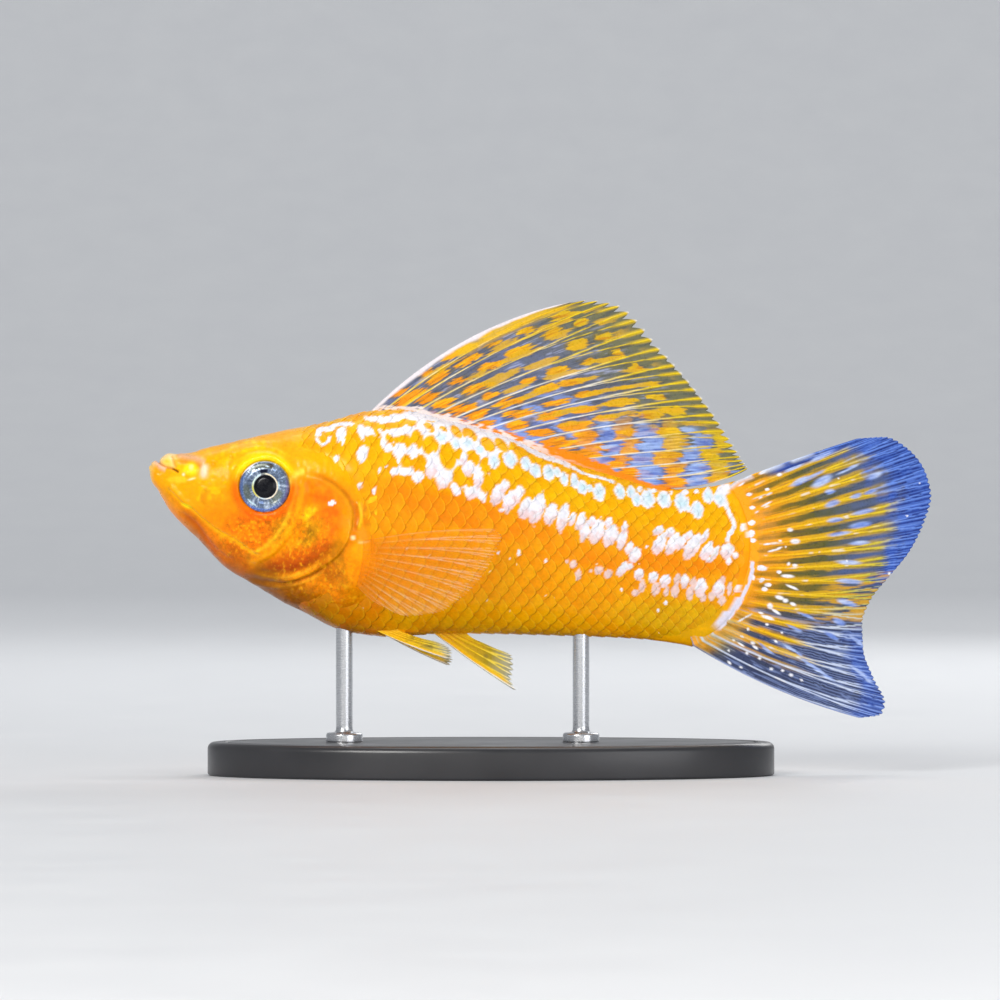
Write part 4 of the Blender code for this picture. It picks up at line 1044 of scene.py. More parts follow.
ROWS, ROW_COUNT = 23, 23.6  # rows of scales a side, and rows that the way from back to belly has room for
SCALES_FROM, SCALES_TO = -30.5, 26.0
SCALE_SPLIT = -3.0  # where the rear scales' meshes begin
SCALE_PITCH = [-30, -22, 0, 24], [1.3, 1.6, 1.68, 1.35]  # along the body, at these places
FRONT_REACH, REAR_REACH, LEAN = 1.45, 1.04, 0.2
PLATE = 13  # points along each side of a scale's grid
PATCH = 0.0015  # half the size of a scale's patch on its UV map


def plate():
    """One scale's points: (along, up) for its top, its underside's rim and middle, which are low, and its faces."""
    n = PLATE
    u, v = np.meshgrid(np.linspace(-1, 1, n), np.linspace(-1, 1, n), indexing="ij")
    top = np.stack([u * np.sqrt(1 - v * v / 2), v * np.sqrt(1 - u * u / 2)], axis=-1).reshape(-1, 2)
    border = [*range(n), *range(2 * n - 1, n * n, n)]
    border += [*range(n * n - 2, n * n - n - 1, -1), *range(n * n - 2 * n, 0, -n)]
    points = np.vstack([top, top[border], [[0, 0]]])
    low = np.arange(len(points)) >= len(top)
    faces, count = grid_faces(n, n).tolist(), len(border)
    for k in range(count):
        j = (k + 1) % count
        faces.append((border[k], border[j], len(top) + j, len(top) + k))
        faces.append((len(top) + k, len(top) + j, len(top) + count))
    return points, low, faces


def scale_middles():
    """Where the scales sit: (x, share, pitch) in staggered rows that run along the body."""
    found, x = [], SCALES_FROM
    while x < SCALES_TO:
        pitch = np.interp(x, *SCALE_PITCH)
        for row in range(ROWS + 1):
            found.append((x + (pitch / 2 if row % 2 else 0.0), (row + 0.35) / ROW_COUNT, pitch))
        x += pitch
    return np.array(found).T


def scales(side, start, end, name, material):
    """One mesh of closed, overlapping scales, whose middles lie from start to end."""
    x, share, pitch = scale_middles()
    keep = (bare_share(x, body_point(x, share)[:, 2]) > 0.15) & (x >= start) & (x < end)
    x, share, pitch = (values[keep][:, None] for values in (x, share, pitch))
    rng = np.random.default_rng([7 if side < 0 else 8, int(end - start)])
    points, low, faces = plate()
    each = (len(x), 1)
    size = pitch / 1.65 * rng.uniform(0.97, 1.05, each)
    a, b = points.T[:, None, :]
    reach = np.hypot(a, b)
    rough = 1 + 0.03 * np.sin(7 * np.arctan2(b, a) + rng.uniform(0, 6, each)) * reach
    point = (1 - np.abs(b) ** 1.5) / np.sqrt(np.maximum(1 - b * b, 1e-4))
    along = np.where(a > 0, a * REAR_REACH * np.minimum(point, 1.0), a * FRONT_REACH) * size * rough
    up = b * girth(x) / ROW_COUNT * 1.12 * rough
    place, out = body_surface(x + along + LEAN * up, share - up / girth(x))
    px, pz = place[..., 0], place[..., 2]
    tilt = rng.uniform(0.9, 1.1, each)
    calm = 1 - 0.7 * step(-17.0, -25.0, px) * step(28.0, 22.0, pz)
    border = bare_share(px, pz)
    height = -0.19 + 0.17 * (along + FRONT_REACH) / (FRONT_REACH + REAR_REACH) * tilt * calm
    height = height - 0.04 * b * b - 0.03 * step(0.86, 1.0, reach) - 0.2 * step(2.2, -0.2, border) - 0.08 * low
    place = place + out * height[..., None]
    px, pz = place[..., 0], place[..., 2]
    p = Paint(flesh_colour(px, pz), px, pz)
    light = rng.uniform(-1, 1, each)
    p.over((255, 205, 20), 0.2 * np.maximum(light, 0)).over((240, 126, 0), 0.18 * np.maximum(-light, 0))
    # Painted shade: each scale darker at its front, where the scale before it overlaps.
    p.over((206, 104, 0), 0.34 * calm * step(0.25, -0.5, a) * step(0.2, 1.8, border))
    # Painted shade: a dark line round each scale's rim on the lower half of the body, in the grooves between scales.
    low_half = step(0.75, 0.3, (pz - belly_height(px)) / 24)
    p.over((190, 100, 0), 0.32 * calm * step(0.9, 1.0, reach) * low_half)
    # Painted highlight: a bright yellow line just inside each scale's rear rim.
    p.over((255, 214, 40), 0.22 * step(0.7, 0.85, reach) * step(1.0, 0.9, reach) * step(-0.1, 0.3, a))
    p = Paint(marked(p.colour, px, pz), px, pz)
    p.over((255, 250, 220), 0.8 * (wander(px * 3, pz * 3, 0.8, 61) > 0.965))
    colour = np.clip(p.colour * (1 + 0.06 * wander(px, pz, 0.4, 62)[..., None]), 0, 1)
    if side > 0:
        faces = [f[::-1] for f in faces]
    shift = range(0, len(x) * len(points), len(points))
    all_faces = [tuple(i + s for i in f) for s in shift for f in faces]
    root_u = (x - SNOUT_X) / (BODY_END_X - SNOUT_X) * 0.98 + 0.01
    root_v = share * 0.5 if side > 0 else 1 - share * 0.5
    uv = np.clip(np.stack([root_u + PATCH * a, root_v + PATCH * b * side], axis=-1).reshape(-1, 2), 0, 1)
    corners = np.concatenate(all_faces)
    verts = place.reshape(-1, 3) * [1, side, 1]
    return piece(name, verts, all_faces, [], material, colour.reshape(-1, 3), uv=uv[corners])


# Fins

ROOT_DEPTH = 0.06  # how far a fin is sunk into the body, as a share of its height


def midway(root, tip, dx=0.0, dz=0.0):
    """The place halfway between two others, and that far from it."""
    return (root[0] + tip[0]) / 2 + dx, (root[1] + tip[1]) / 2 + dz


def bulged(root, tip, bulge):
    """The place that far to the left of halfway."""
    dx, dz = tip[0] - root[0], tip[1] - root[1]
    size = np.hypot(dx, dz)
    return midway(root, tip, -dz / size * bulge, dx / size * bulge)


def swept(root, control, tip, s, sink):
    """Places (x, z) on a curved ray. s is 0 at its root and 1 at its tip. Its sunk end lies back by the sink."""
    up, sunk = np.maximum(s, 0), np.minimum(s, 0) / ROOT_DEPTH
    return [
        a * (1 - up) ** 2 + 2 * b * up * (1 - up) + c * up * up + down * sunk
        for a, b, c, down in zip(root, control, tip, sink)
    ]


def sheet_fin(name, node, material, place, side, thick, paint, columns, rows, end, flip=1):
    """A closed ribbed sheet. place(t, s) gives (x, z), side its distance from the midplane, thick its
    half thickness and how near a ray is, and paint its colour, for t across the rays and s along them."""
    t, s = np.meshgrid(np.linspace(0, 1, columns), np.linspace(0, 1, rows), indexing="ij")
    s = (end(t) + ROOT_DEPTH) * s - ROOT_DEPTH
    x, z = place(t, s)
    middle = np.stack([x, side(x, z), z], axis=-1)
    across, along = np.gradient(middle, axis=0), np.gradient(middle, axis=1)
    normal = np.cross(along, across)
    normal /= np.maximum(np.linalg.norm(normal, axis=-1, keepdims=True), 1e-9)
    normal *= np.where(normal[..., 1:2] > 0, -1, 1)
    pace = np.linalg.norm(along, axis=-1)
    length = np.cumsum(pace, axis=1) - pace[:, :1]
    length -= np.take_along_axis(length, np.argmin(np.abs(s), axis=1)[:, None], axis=1)
    shape = dict(t=t, s=s, x=x, z=z, length=length, gap=np.linalg.norm(across, axis=-1) * (columns - 1))
    half, near = thick(shape)
    colours = np.tile(np.clip(paint(shape, near), 0, 1).reshape(-1, 3), (2, 1))
    i, j = np.arange(columns)[:, None], np.arange(rows)
    edge = np.minimum(np.minimum(step(0, 2.5, i), step(columns - 1, columns - 3.5, i)), step(rows - 1, rows - 3, j))
    rise = normal * (half * (0.35 + 0.65 * edge))[..., None]
    verts = np.stack([middle + rise, middle - rise]).reshape(-1, 3) * [1, flip, 1]
    count = columns * rows
    number = np.arange(count).reshape(columns, rows)
    loop = np.concatenate([number[0, :], number[1:, -1], number[-1, -2::-1], number[-2:0:-1, 0]])
    following = np.roll(loop, -1)
    rim = np.stack([loop, following, following + count, loop + count], axis=-1)
    faces = np.vstack([grid_faces(columns, rows), grid_faces(columns, rows, count)[:, ::-1], rim])
    sign = np.cross(middle[1, 0] - middle[0, 0], middle[0, 1] - middle[0, 0])[1]
    if (sign > 0) != (flip < 0):
        faces = faces[:, ::-1]
    flat = np.stack([0.01 + 0.48 * t, 0.01 + 0.98 * (s + ROOT_DEPTH) / (1 + ROOT_DEPTH)], axis=-1).reshape(-1, 2)
    uv = np.vstack([flat, flat + [0.5, 0]])[faces.ravel()]
    lay = np.tile(np.stack([length, near, s], axis=-1).reshape(-1, 3), (2, 1))
    return piece(name, verts, faces, [node], material, colours, lay, uv)


def ray_gap(t, s, rays, splits):
    """The distance to the nearest ray or branch, in spaces between rays."""
    r = t * (rays - 1)
    nearest = np.rint(r)
    offsets = [np.zeros(s.shape)]
    for start, spread in splits:
        opened = spread * step(start, 1.08, s)
        offsets = [o + sign * opened for o in offsets for sign in (-1, 1)]
    first, last = nearest < 0.5, nearest > rays - 1.5
    best = np.full(s.shape, 9.0)
    for o in offsets:
        o = np.where(first, np.abs(o), np.where(last, -np.abs(o), o))
        best = np.minimum(best, np.abs(r - nearest - o))
    return best


def toothed(rays, tips, depth):
    """The fin's margin: a point at each branch's tip, and a notch between them."""

    def end(t):
        r = t * (rays - 1) * tips + 0.5
        nearest = np.rint(r)
        uneven = 0.75 + 0.35 * np.sin(nearest * 12.9)
        return 1 - depth * uneven * (np.abs(r - nearest) * 2) ** 1.3

    return end


def ribs(shape, rays, splits, root, root_share, crest, wide, web=0.13):
    """Half thickness, and how near a ray's crest. crest and wide are each at the root and at the tip."""
    s = np.maximum(shape["s"], 0)
    shape["away"] = ray_gap(shape["t"], s, rays, splits)
    ridge, width = (a + (b - a) * s for a, b in (crest, wide))
    near = bell(shape["away"] * shape["gap"] / (rays - 1), 0, width)
    half = web + (ridge - web) * near
    flesh = np.maximum(0.0, 1 - s / root_share) ** 1.5
    return half + (root / 2 - half) * flesh, near


# The back fin

DORSAL_RAYS = 15
DORSAL_ROOT = (-20.3, 15.6)
DORSAL_MARGIN = along_chain((3.2, 56.7), (5.6, 57.0), (8.8, 56.6), (14.5, 51.0), (20.3, 44.0), (24.9, 36.75))
DORSAL_SWEEP = smooth([
    (0, 0), (0.19, 0.055), (0.35, 0.09), (0.5, 0.115), (0.69, 0.135), (0.8, 0.12), (0.92, 0.06), (1, 0),
])
DORSAL_LEAN = smooth([(0, 44), (0.19, 31), (0.35, 24), (0.5, 18), (0.69, 12), (0.8, 7), (0.92, 2), (1, 0)])
# Blue and gold columns at the rear of the base: their places and half widths on the photograph
DORSAL_BLUES = [(608, 8), (648, 11), (697, 9)]
DORSAL_GOLDS = [(587, 9), (625, 8), (671, 10), (717, 9)]


def dorsal_place(t, s):
    sweep = DORSAL_SWEEP(t)
    root_x = DORSAL_ROOT[0] + (DORSAL_ROOT[1] - DORSAL_ROOT[0]) * (t - sweep)
    root_z = back_height(root_x)
    tip = DORSAL_MARGIN(t + sweep)
    lean = np.radians(DORSAL_LEAN(t))
    reach = np.hypot(tip[0] - root_x, tip[1] - root_z) * 0.55
    control = root_x + reach * np.cos(lean), root_z + reach * np.sin(lean)
    return swept((root_x, root_z), control, tip, s, (0.8, 1.4))


def dorsal_side(x, z):
    return 0.9 * np.maximum(0.0, z - 44.0) / 13.0 * np.sin((x + 16.0) / 9.0)


def fin_spots(shape, rays, period, first, long, seed, slim):
    """Spots between the rays: over 0 inside one, and less outside."""
    rng = np.random.default_rng(seed)
    t, s, length = shape["t"], shape["s"], shape["length"]
    r = t * (rays - 1)
    row = np.clip(np.floor(r).astype(int), 0, rays - 2)
    shift = rng.uniform(-0.25, 0.25, rays) * period
    table = rng.uniform(0, 1, (4, rays, 24))
    way = length - first - shift[row]
    number = np.rint(way / period)
    size, aside, slide, kept = table[:, row, np.clip(number.astype(int), 0, 23)]
    loose = step(0.0, 0.45, s)
    off = (way - number * period - loose * 0.3 * period * (slide - 0.5)) / (long * (0.6 + 0.8 * size))
    across = (r - row - 0.5 - 0.3 * loose * (aside - 0.5)) * 2 - 0.35 * off * (aside - 0.5)
    across = across / (slim * (0.8 + 0.5 * size) * (1 + 0.9 * (1 - loose)))
    ragged = 0.35 * wander(length * 0.6, r * 5.0, 0.5, seed + 1) + 0.2 * wander(length * 1.6, r * 11.0, 0.6, seed + 2)
    return np.where(kept > 0.12 * loose, 1 - off**2 - across**2 + ragged, -9.0)


def dorsal_paint(shape, near):
    t, s, x, z, length, away = (shape[k] for k in ("t", "s", "x", "z", "length", "away"))
    r = t * (DORSAL_RAYS - 1)
    haze = wander(x, z, 1.5, 71) + 0.5 * wander(x, z, 0.6, 72)
    streak = wander(length * 0.35 + r, r * 6.0, 0.7, 76) + 0.6 * wander(length * 0.8 - r, r * 13.0, 0.7, 77)
    p = Paint((98, 103, 118), x, z)
    p.over((106, 122, 184), 0.15 + 0.75 * step(14, 3, length) * step(0.3, 0.6, t) + 0.35 * haze)
    p.over((110, 110, 80), step(0.5, 0.85, s + 0.12 * haze))
    p.over((60, 66, 82), 0.55 * step(0.1, 1.0, -streak))
    p.over((176, 184, 222), 0.7 * step(0.3, 1.1, streak) * step(0.95, 0.7, s))
    pale = fin_spots(shape, DORSAL_RAYS, 4.6, 5.4, 1.3, 174, 0.8)
    p.over((140, 166, 236), 0.75 * step(0.0, 0.5, pale + 0.3 * streak) * step(16, 9, length) * step(0.25, 0.5, t))
    inside = fin_spots(shape, DORSAL_RAYS, 4.2, 2.2, 1.7, 74, 0.5) + 0.45 * streak + 0.3 * haze - 0.15
    inside = np.where(s > 0.84 + 0.04 * haze, -9.0, inside)
    spots = step(0.0, 0.22, inside)
    p.over((120, 104, 40), 0.6 * step(-0.4, -0.05, inside))
    gold = Paint(graded(
        s + 0.06 * haze, (0.0, 248, 146, 4), (0.35, 240, 158, 6), (0.7, 216, 168, 10), (1.0, 214, 184, 20),
    ), x, z)
    gold.over((196, 118, 4), 0.7 * step(0.1, 0.8, -streak)).over((255, 206, 20), 0.6 * step(0.3, 0.9, streak))
    blue = Paint((92, 116, 196), x, z).over((168, 196, 246), 0.5 + 0.6 * streak)
    p.over(gold.colour, spots)
    low = step(43.5, 40.5, z + haze) * step(0.45, 0.6, t)
    zigzag = x + 0.7 * np.sin(2.4 * np.floor(r)) + 0.55 * streak
    for tone, weight, columns, loose in ((blue, 0.85, DORSAL_BLUES, 0), (gold, 0.9, DORSAL_GOLDS, 0.3)):
        for px, half in columns:
            off = np.abs(at_photo(px, 460)[0] - zigzag - loose * haze)
            p.over(tone.colour, weight * low * step(1.1, 0.85, off / PIXEL / half))
    between = dict(shape, t=t + 0.5 / (DORSAL_RAYS - 1))
    bars = fin_spots(between, DORSAL_RAYS + 1, 5.6, 3.0, 2.7, 75, 0.34 + 0.16 * step(0.5, 0.2, t)) + 0.4 * streak
    p.over((222, 172, 10), 0.85 * step(0.1, 0.35, bars) * step(0.12, 0.3, s) * step(0.97, 0.85, s) * (1 - low))
    p.over((214, 180, 14), 0.9 * step(0.86, 0.95, s + 0.03 * haze - 0.08 * away) * step(0.15, 0.05, away))
    p.over((190, 158, 14), 0.6 * step(0.05, 0.5, near) * step(0.5, 0.75, s) * (haze > -0.2))
    ray = Paint((236, 240, 250), x, z).over((250, 216, 50), 0.3 + 0.55 * step(0.42, 0.2, t) + 0.4 * haze)
    ray.over((246, 212, 20), np.maximum(0.7 * spots, step(0.5, 0.8, s)))
    crest = step(0.5 - 0.22 * step(0.6, 0.2, s), 0.86, near)
    p.over(ray.colour, crest * (0.75 + 0.25 * step(-0.3, 0.3, streak)))
    p.over((236, 240, 250), 0.9 * step(0.984, 0.998, s))
    flesh = 0.5 + 1.7 * bell(x, 4.5, 5.0) + 0.5 * haze + 0.5 * streak
    p.over((252, 140, 4), step(0.3, -0.3, length - flesh) * step(0.2, 0.4, t))
    streaky = wander(x * 0.7 + z, z * 2.2, 0.5, 78)
    p.over((250, 232, 226), 0.9 * step(0.45, 0.15, length + 0.5 * haze + 0.7 * streaky) * step(0.9, 0.6, t))
    p.over((240, 190, 20), 0.8 * step(0.1, 0.06, t) * step(0.3, 0.5, s + 0.1 * haze) * step(0.98, 0.8, s))
    return p.over((240, 232, 236), step(0.034, 0.014, t + 0.006 * haze)).colour


def dorsal_fin(material):
    def thick(shape):
        return ribs(shape, DORSAL_RAYS, [(0.42, 0.25)], 1.5, 0.2, (0.34, 0.2), (0.19, 0.12))

    sheet_fin(
        "dorsal_fin_fine", "dorsal_fin", material, dorsal_place, dorsal_side, thick,
        dorsal_paint, (DORSAL_RAYS - 1) * 22 + 1, 150, toothed(DORSAL_RAYS, 2, 0.05),
    )


# The tail

TAIL_RAYS = 18
TAIL_ROOT_ROUND = 12.8  # how far the rays' roots are from TAIL_AT
TAIL_MARGIN = along_chain(
    (38.0, 40.4), (41.3, 40.6), (44.3, 39.0), (46.3, 36.0), (46.85, 33.4), (46.1, 30.6), (44.3, 27.0),
    (41.6, 23.6), (39.6, 21.0), (38.6, 18.2), (38.7, 15.2), (40.0, 11.6), (41.4, 8.6), (40.9, 7.2), (38.3, 6.8),
)


TAIL_DOTS = [
    (750.4, 494.5, 2, 1.2, 25), (752.4, 507.8, 2.2, 1.6, 10), (767.8, 489.4, 1.8, 1.2, 25),
    (761.6, 497.6, 2.2, 0.9, 28), (769.8, 493.9, 2.9, 0.9, 28), (766.7, 504.1, 5.3, 0.9, 28),
    (756.5, 512.2, 2.4, 0.9, 28), (780, 474.7, 2.4, 1.6, 20), (762.7, 472, 4.1, 1.6, 28),
    (741.2, 484.3, 4.1, 0.9, 30), (747.3, 477.1, 2.9, 0.9, 30), (750.4, 523.7, 1.6, 1.8, 0),
    (751.4, 532.7, 1.8, 1.6, 0), (752.9, 540.4, 2, 1.8, 0), (767.8, 544.1, 3.3, 1, 8), (772.9, 550.6, 4.5, 0.9, 14),
    (780, 540.8, 1.4, 1, 0), (778.8, 548.6, 3.3, 1, 30), (790.2, 529.8, 2.7, 1.8, 0), (795.3, 541.4, 4.5, 2.4, 0),
    (785.3, 546.9, 1, 0.9, 0), (788.2, 563.9, 1.4, 1.8, -30), (795.3, 565.3, 2.9, 1.4, 0), (779, 572, 2.4, 1.6, 0),
    (764.7, 569, 2.4, 1.6, 0), (761.6, 581.2, 1.8, 1.4, 0), (768.2, 584.9, 2.7, 1.8, 0),
    (765.3, 589.4, 2.7, 1.4, 0), (788.2, 576.1, 6.1, 1.6, -4), (792.2, 587.3, 5.7, 1.2, -25),
    (780, 597.6, 4.5, 2, -15), (786.1, 600.6, 2.9, 2, 0), (793.3, 604.1, 2.9, 1.6, -20),
    (770.2, 606.1, 2.4, 2.9, 0), (761.6, 612.9, 2.9, 1, -10), (775.9, 611.8, 5.3, 1.4, -30),
    (767.8, 617.6, 5.7, 1.6, -20), (766.7, 624.5, 1.8, 1.2, 0), (782, 632.7, 1.2, 1, 0),
    (775.9, 641.4, 2, 1.2, -30), (729, 650.6, 1.2, 1.2, 0), (734.1, 640.4, 1.4, 1, -20),
    (742.2, 636.7, 1.8, 1, -20), (748.4, 629.2, 1.4, 1.6, 0), (753.5, 642.9, 2.2, 1.4, -20),
    (741.2, 644.5, 4.1, 1, -30), (747.3, 653.1, 1.8, 1.6, 0), (759.6, 658.4, 1.8, 1.4, 0),
    (771.4, 669, 1.8, 1.2, 0), (783.1, 670.6, 1.6, 1.2, 0), (791.2, 675.1, 2, 1.4, 0), (801.4, 680.2, 1.6, 1, -30),
    (730, 662.9, 2.4, 1.2, -40), (741.2, 667.3, 1.6, 1, -20), (755.9, 647.6, 2.9, 1.2, -35),
    (748.4, 615.9, 4.1, 0.9, 30), (741.2, 620, 4.1, 0.9, 28), (839.2, 478.2, 0.6, 0.9, 0),
    (907.1, 515.9, 0.8, 0.9, 0), (919.8, 483.3, 0.6, 0.9, 0), (889.8, 573.5, 1.4, 1.4, 0),
    (847.3, 560.8, 1, 0.9, 0),
]
TAIL_PATCHES = [
    (874.9, 476.1, 8.6, 2.4, 22), (830, 491.8, 4.9, 2.4, 15), (832, 503.7, 6.9, 3.1, 20),
    (855.5, 495.9, 5.3, 2, 20), (869.8, 491.8, 6.9, 2, 15), (835.1, 520, 7.3, 2, 10),
    (862.7, 511.8, 10.6, 2.4, 12), (839.2, 533.9, 11.4, 2, 8), (859.6, 525.1, 10.2, 2.9, 10),
    (859.6, 542.9, 9.4, 2, 5), (849.4, 562.4, 11.4, 2.2, -2), (849.4, 581.2, 12.2, 2.4, -5),
    (847.3, 602.7, 9.4, 2.9, -18), (838.6, 621.6, 5.7, 3.1, -25), (822.9, 481.2, 10.2, 4.5, 28),
    (800.4, 481.2, 9.4, 2.4, 28), (812.7, 476.1, 12.2, 1.6, 28), (822.9, 455.7, 12.2, 2.4, 25),
    (794.3, 468, 10.2, 1.8, 22), (849.4, 469, 12.2, 1.6, 25), (831, 636.3, 8.2, 2, -30),
    (810.6, 664.9, 12.2, 1.6, -35), (822.9, 673.1, 14.3, 1.6, -35), (794.3, 650.6, 10.2, 1.4, -35),
    (765.7, 648.6, 10.2, 1.4, -35), (859.6, 642.4, 10.2, 2, -35), (863.7, 675.1, 12.2, 2, -40),
    (794.3, 628.2, 8.2, 1.4, -25), (806.5, 615.9, 9.4, 1.4, -22),
]


def tail_place(t, s):
    angle = np.radians(38.5 - 106.5 * t)
    out = np.cos(angle), np.sin(angle)
    root, tip = [at + TAIL_ROOT_ROUND * way for at, way in zip(TAIL_AT, out)], TAIL_MARGIN(t)
    return swept(root, bulged(root, tip, 0.2 - 1.8 * t), tip, s, [1.1 * way for way in out])


def tail_side(x, z):
    return 1.1 * np.maximum(0.0, x - 24.0) / 22.0 * np.sin(z / 6.5 + 0.6)


def tail_paint(shape, near):
    t, s, x, z, length, away = (shape[k] for k in ("t", "s", "x", "z", "length", "away"))
    r, flat = t * (TAIL_RAYS - 1), np.zeros(t.shape)
    haze = wander(x, z, 1.4, 81) + 0.5 * wander(x, z, 0.5, 82)
    fingers = wander(r * 1.3, flat, 1.0, 90) * 0.5 + 0.5 * wander(length * 0.3, r * 5.0, 0.8, 89)
    upper, lower = step(0.62, 0.5, t), step(0.6, 0.72, t)
    streak = wander(length * 0.3, r * 6.0, 0.7, 87) + 0.6 * wander(length * 0.8, r * 13.0, 0.7, 88)
    bundle = bell(away, 0, 0.21 + 0.2 * (1 - np.maximum(s, 0)) ** 2)
    crest = step(0.35, 0.8, near)
    fine_ray = step(0.2, 0.7, np.sin(2 * math.pi * r * 6 + 1.5 * haze)) * step(0.35, 0.6, s)
    web = Paint(graded(
        length + 1.2 * haze, (-0.4, 244, 160, 4), (0.6, 200, 134, 4), (3.0, 132, 106, 10), (7.5, 86, 86, 40),
        (11.0, 82, 90, 100),
    ), x, z)
    web.over((52, 62, 98), lower * step(1.0, 3.0, length))
    tips = step(0.88, 0.7, s + 0.08 * fingers + 0.22 * lower + 0.24 * away)
    gold = graded(s + 0.05 * haze, (0.0, 250, 160, 2), (0.3, 222, 168, 4), (0.65, 186, 152, 12), (0.9, 150, 140, 40))
    web.over(gold, 0.95 * step(0.25, 0.7, bundle + 0.22 * streak) * tips * step(0.92, 0.84, t))
    web.over((70, 96, 168), 0.6 * step(0.5, 0.75, s + 0.06 * haze) * upper * (1 - bundle))
    web.over((54, 58, 62), 0.45 * step(0.2, 1.0, -streak) * step(1.5, 4.0, length))
    web.over((132, 152, 204), 0.6 * lower * np.maximum(step(0.2, 0.9, streak), fine_ray))
    ray = Paint(graded(
        s + 0.05 * haze, (0.0, 255, 176, 6), (0.25, 246, 192, 8), (0.6, 236, 200, 30), (0.85, 200, 190, 70),
    ), x, z)
    ray.over((204, 216, 242), np.maximum(lower * step(0.5, 0.72, s + 0.1 * fingers), step(0.8, 0.9, t)))
    ray.over((246, 246, 248), 0.75 * step(0.45, 0.9, wander(length, t * 60, 0.9, 83)) * step(0.8, 0.5, s))
    outer = s + 0.06 * haze + 0.12 * fingers * crest - 0.12 * step(0.25, 0.55, t)
    outer = step(0.66, 0.84, outer) * step(0.6, 0.52, t)
    outer = np.maximum(outer, 0.8 * step(0.8, 0.95, s + 0.04 * haze) * step(0.68, 0.74, t))
    outer = np.maximum(outer, step(0.07, 0.03, t) * step(0.15, 0.35, s))
    deep = Paint((18, 38, 112), x, z).over((36, 72, 164), 0.5 + 0.6 * haze)
    deep.over((84, 122, 212), 0.7 * np.maximum(step(0.25, 0.9, streak), fine_ray))
    ray.over((104, 142, 226), outer)
    golden = step(0.5, 0.54, t) * step(0.7, 0.66, t) * step(0.45, 0.65, s)
    p = web.over(deep.colour, outer).over((214, 160, 6), 0.85 * golden * step(-0.4, 0.3, streak))
    p.over(ray.colour, 0.95 * crest)
    pale_blue = Paint((112, 142, 222), x, z).over((196, 214, 250), 0.5 + 0.6 * streak)
    for place in TAIL_PATCHES:
        p.over(pale_blue.colour, 0.9 * spot(x + 0.2 * streak, z, *place, 0.8))
    for place in TAIL_DOTS:
        p.over((246, 246, 252), spot(x + 0.1 * haze, z, *place, 0.8))
    p.over((255, 168, 3), step(0.5, -0.2, length + 0.4 * haze + 2.4 * (away - 0.25)) * step(0.74, 0.64, t))
    p.over((206, 196, 120), 0.55 * step(0.66, 0.78, t) * step(4.5, 1.0, length) * (0.6 + 0.6 * streak))
    top_line = step(0.035, 0.0, t) * step(0.75, 0.5, s) * step(-0.5, 0.3, wander(length, flat, 1.3, 91))
    p.over((220, 230, 248), 0.9 * top_line).over((166, 182, 232), 0.8 * step(0.985, 1.0, t))
    return marked(p.colour, x, z)


def tail_fin(material):
    def thick(shape):
        return ribs(shape, TAIL_RAYS, [(0.3, 0.25), (0.62, 0.125)], 2.1, 0.13, (0.34, 0.16), (0.2, 0.09))

    sheet_fin(
        "tail_fin_fine", "tail_fin", material, tail_place, tail_side, thick,
        tail_paint, (TAIL_RAYS - 1) * 20 + 1, 130, toothed(TAIL_RAYS, 4, 0.016),
    )


# The paired fins and the anal fin

PECTORAL_RAYS = 13
PECTORAL_AT = (-22.2, 25.6)
PECTORAL_ROOTS = along_chain((-22.4, 27.9), PECTORAL_AT, (-22.3, 23.4))
PECTORAL_MARGIN = along_chain(
    (-5.6, 29.6), (-4.7, 28.7), (-5.4, 26.9), (-6.8, 24.3), (-9.2, 21.6), (-12.2, 19.7), (-16.0, 19.2), (-19.2, 20.5),
)


def pectoral_place(t, s):
    root, tip = PECTORAL_ROOTS(t), PECTORAL_MARGIN(t)
    return swept(root, bulged(root, tip, 1.0 - 1.6 * t), tip, s, (0.8, 0))


def pectoral_paint(shape, near):
    t, s, x, z = (shape[k] for k in ("t", "s", "x", "z"))
    haze = wander(x, z, 1.2, 91) + 0.5 * wander(x, z, 0.45, 92)
    p = Paint(graded(s, (0.0, 255, 150, 1), (0.35, 255, 156, 2), (1.0, 248, 166, 6)), x, z)
    p.over((236, 136, 2), 0.5 * step(0.3, 1.0, t) + 0.2 * haze)
    stops = (0.0, 255, 190, 40), (0.3, 255, 214, 130), (0.6, 255, 232, 190), (1.0, 255, 236, 206)
    ray = Paint(graded(s, *stops), x, z).over((255, 226, 206), 0.6 * step(0.3, 0.6, s) * step(0.4, 0.1, t))
    p.over(ray.colour, step(0.45, 0.85, near) * (0.75 + 0.3 * wander(s * 9, t * 40, 0.8, 93)) * step(0.05, 0.3, s))
    p.over((255, 158, 2), 0.8 * step(0.26, 0.05, s))
    return p.over((255, 186, 96), step(0.03, 0.0, t) * step(0.05, 0.3, s)).colour


def pectoral_fin(where, spread, flip, material):
    root_side = float(flank(*PECTORAL_AT))

    def side(x, z):
        away = np.maximum(0.0, x - PECTORAL_AT[0])
        out = 2.6 * (1 - np.exp(-away / 2.2)) + spread * away
        return -(root_side - 1.1 + out + 0.012 * (z - 25.0) ** 2)

    def thick(shape):
        return ribs(shape, PECTORAL_RAYS, [(0.35, 0.25), (0.7, 0.125)], 1.5, 0.25, (0.26, 0.14), (0.14, 0.06), 0.11)

    sheet_fin(
        "pectoral_fin_fine_" + where, "pectoral_fin_" + where, material, pectoral_place, side, thick,
        pectoral_paint, (PECTORAL_RAYS - 1) * 16 + 1, 70, toothed(PECTORAL_RAYS, 4, 0.02), flip,
    )


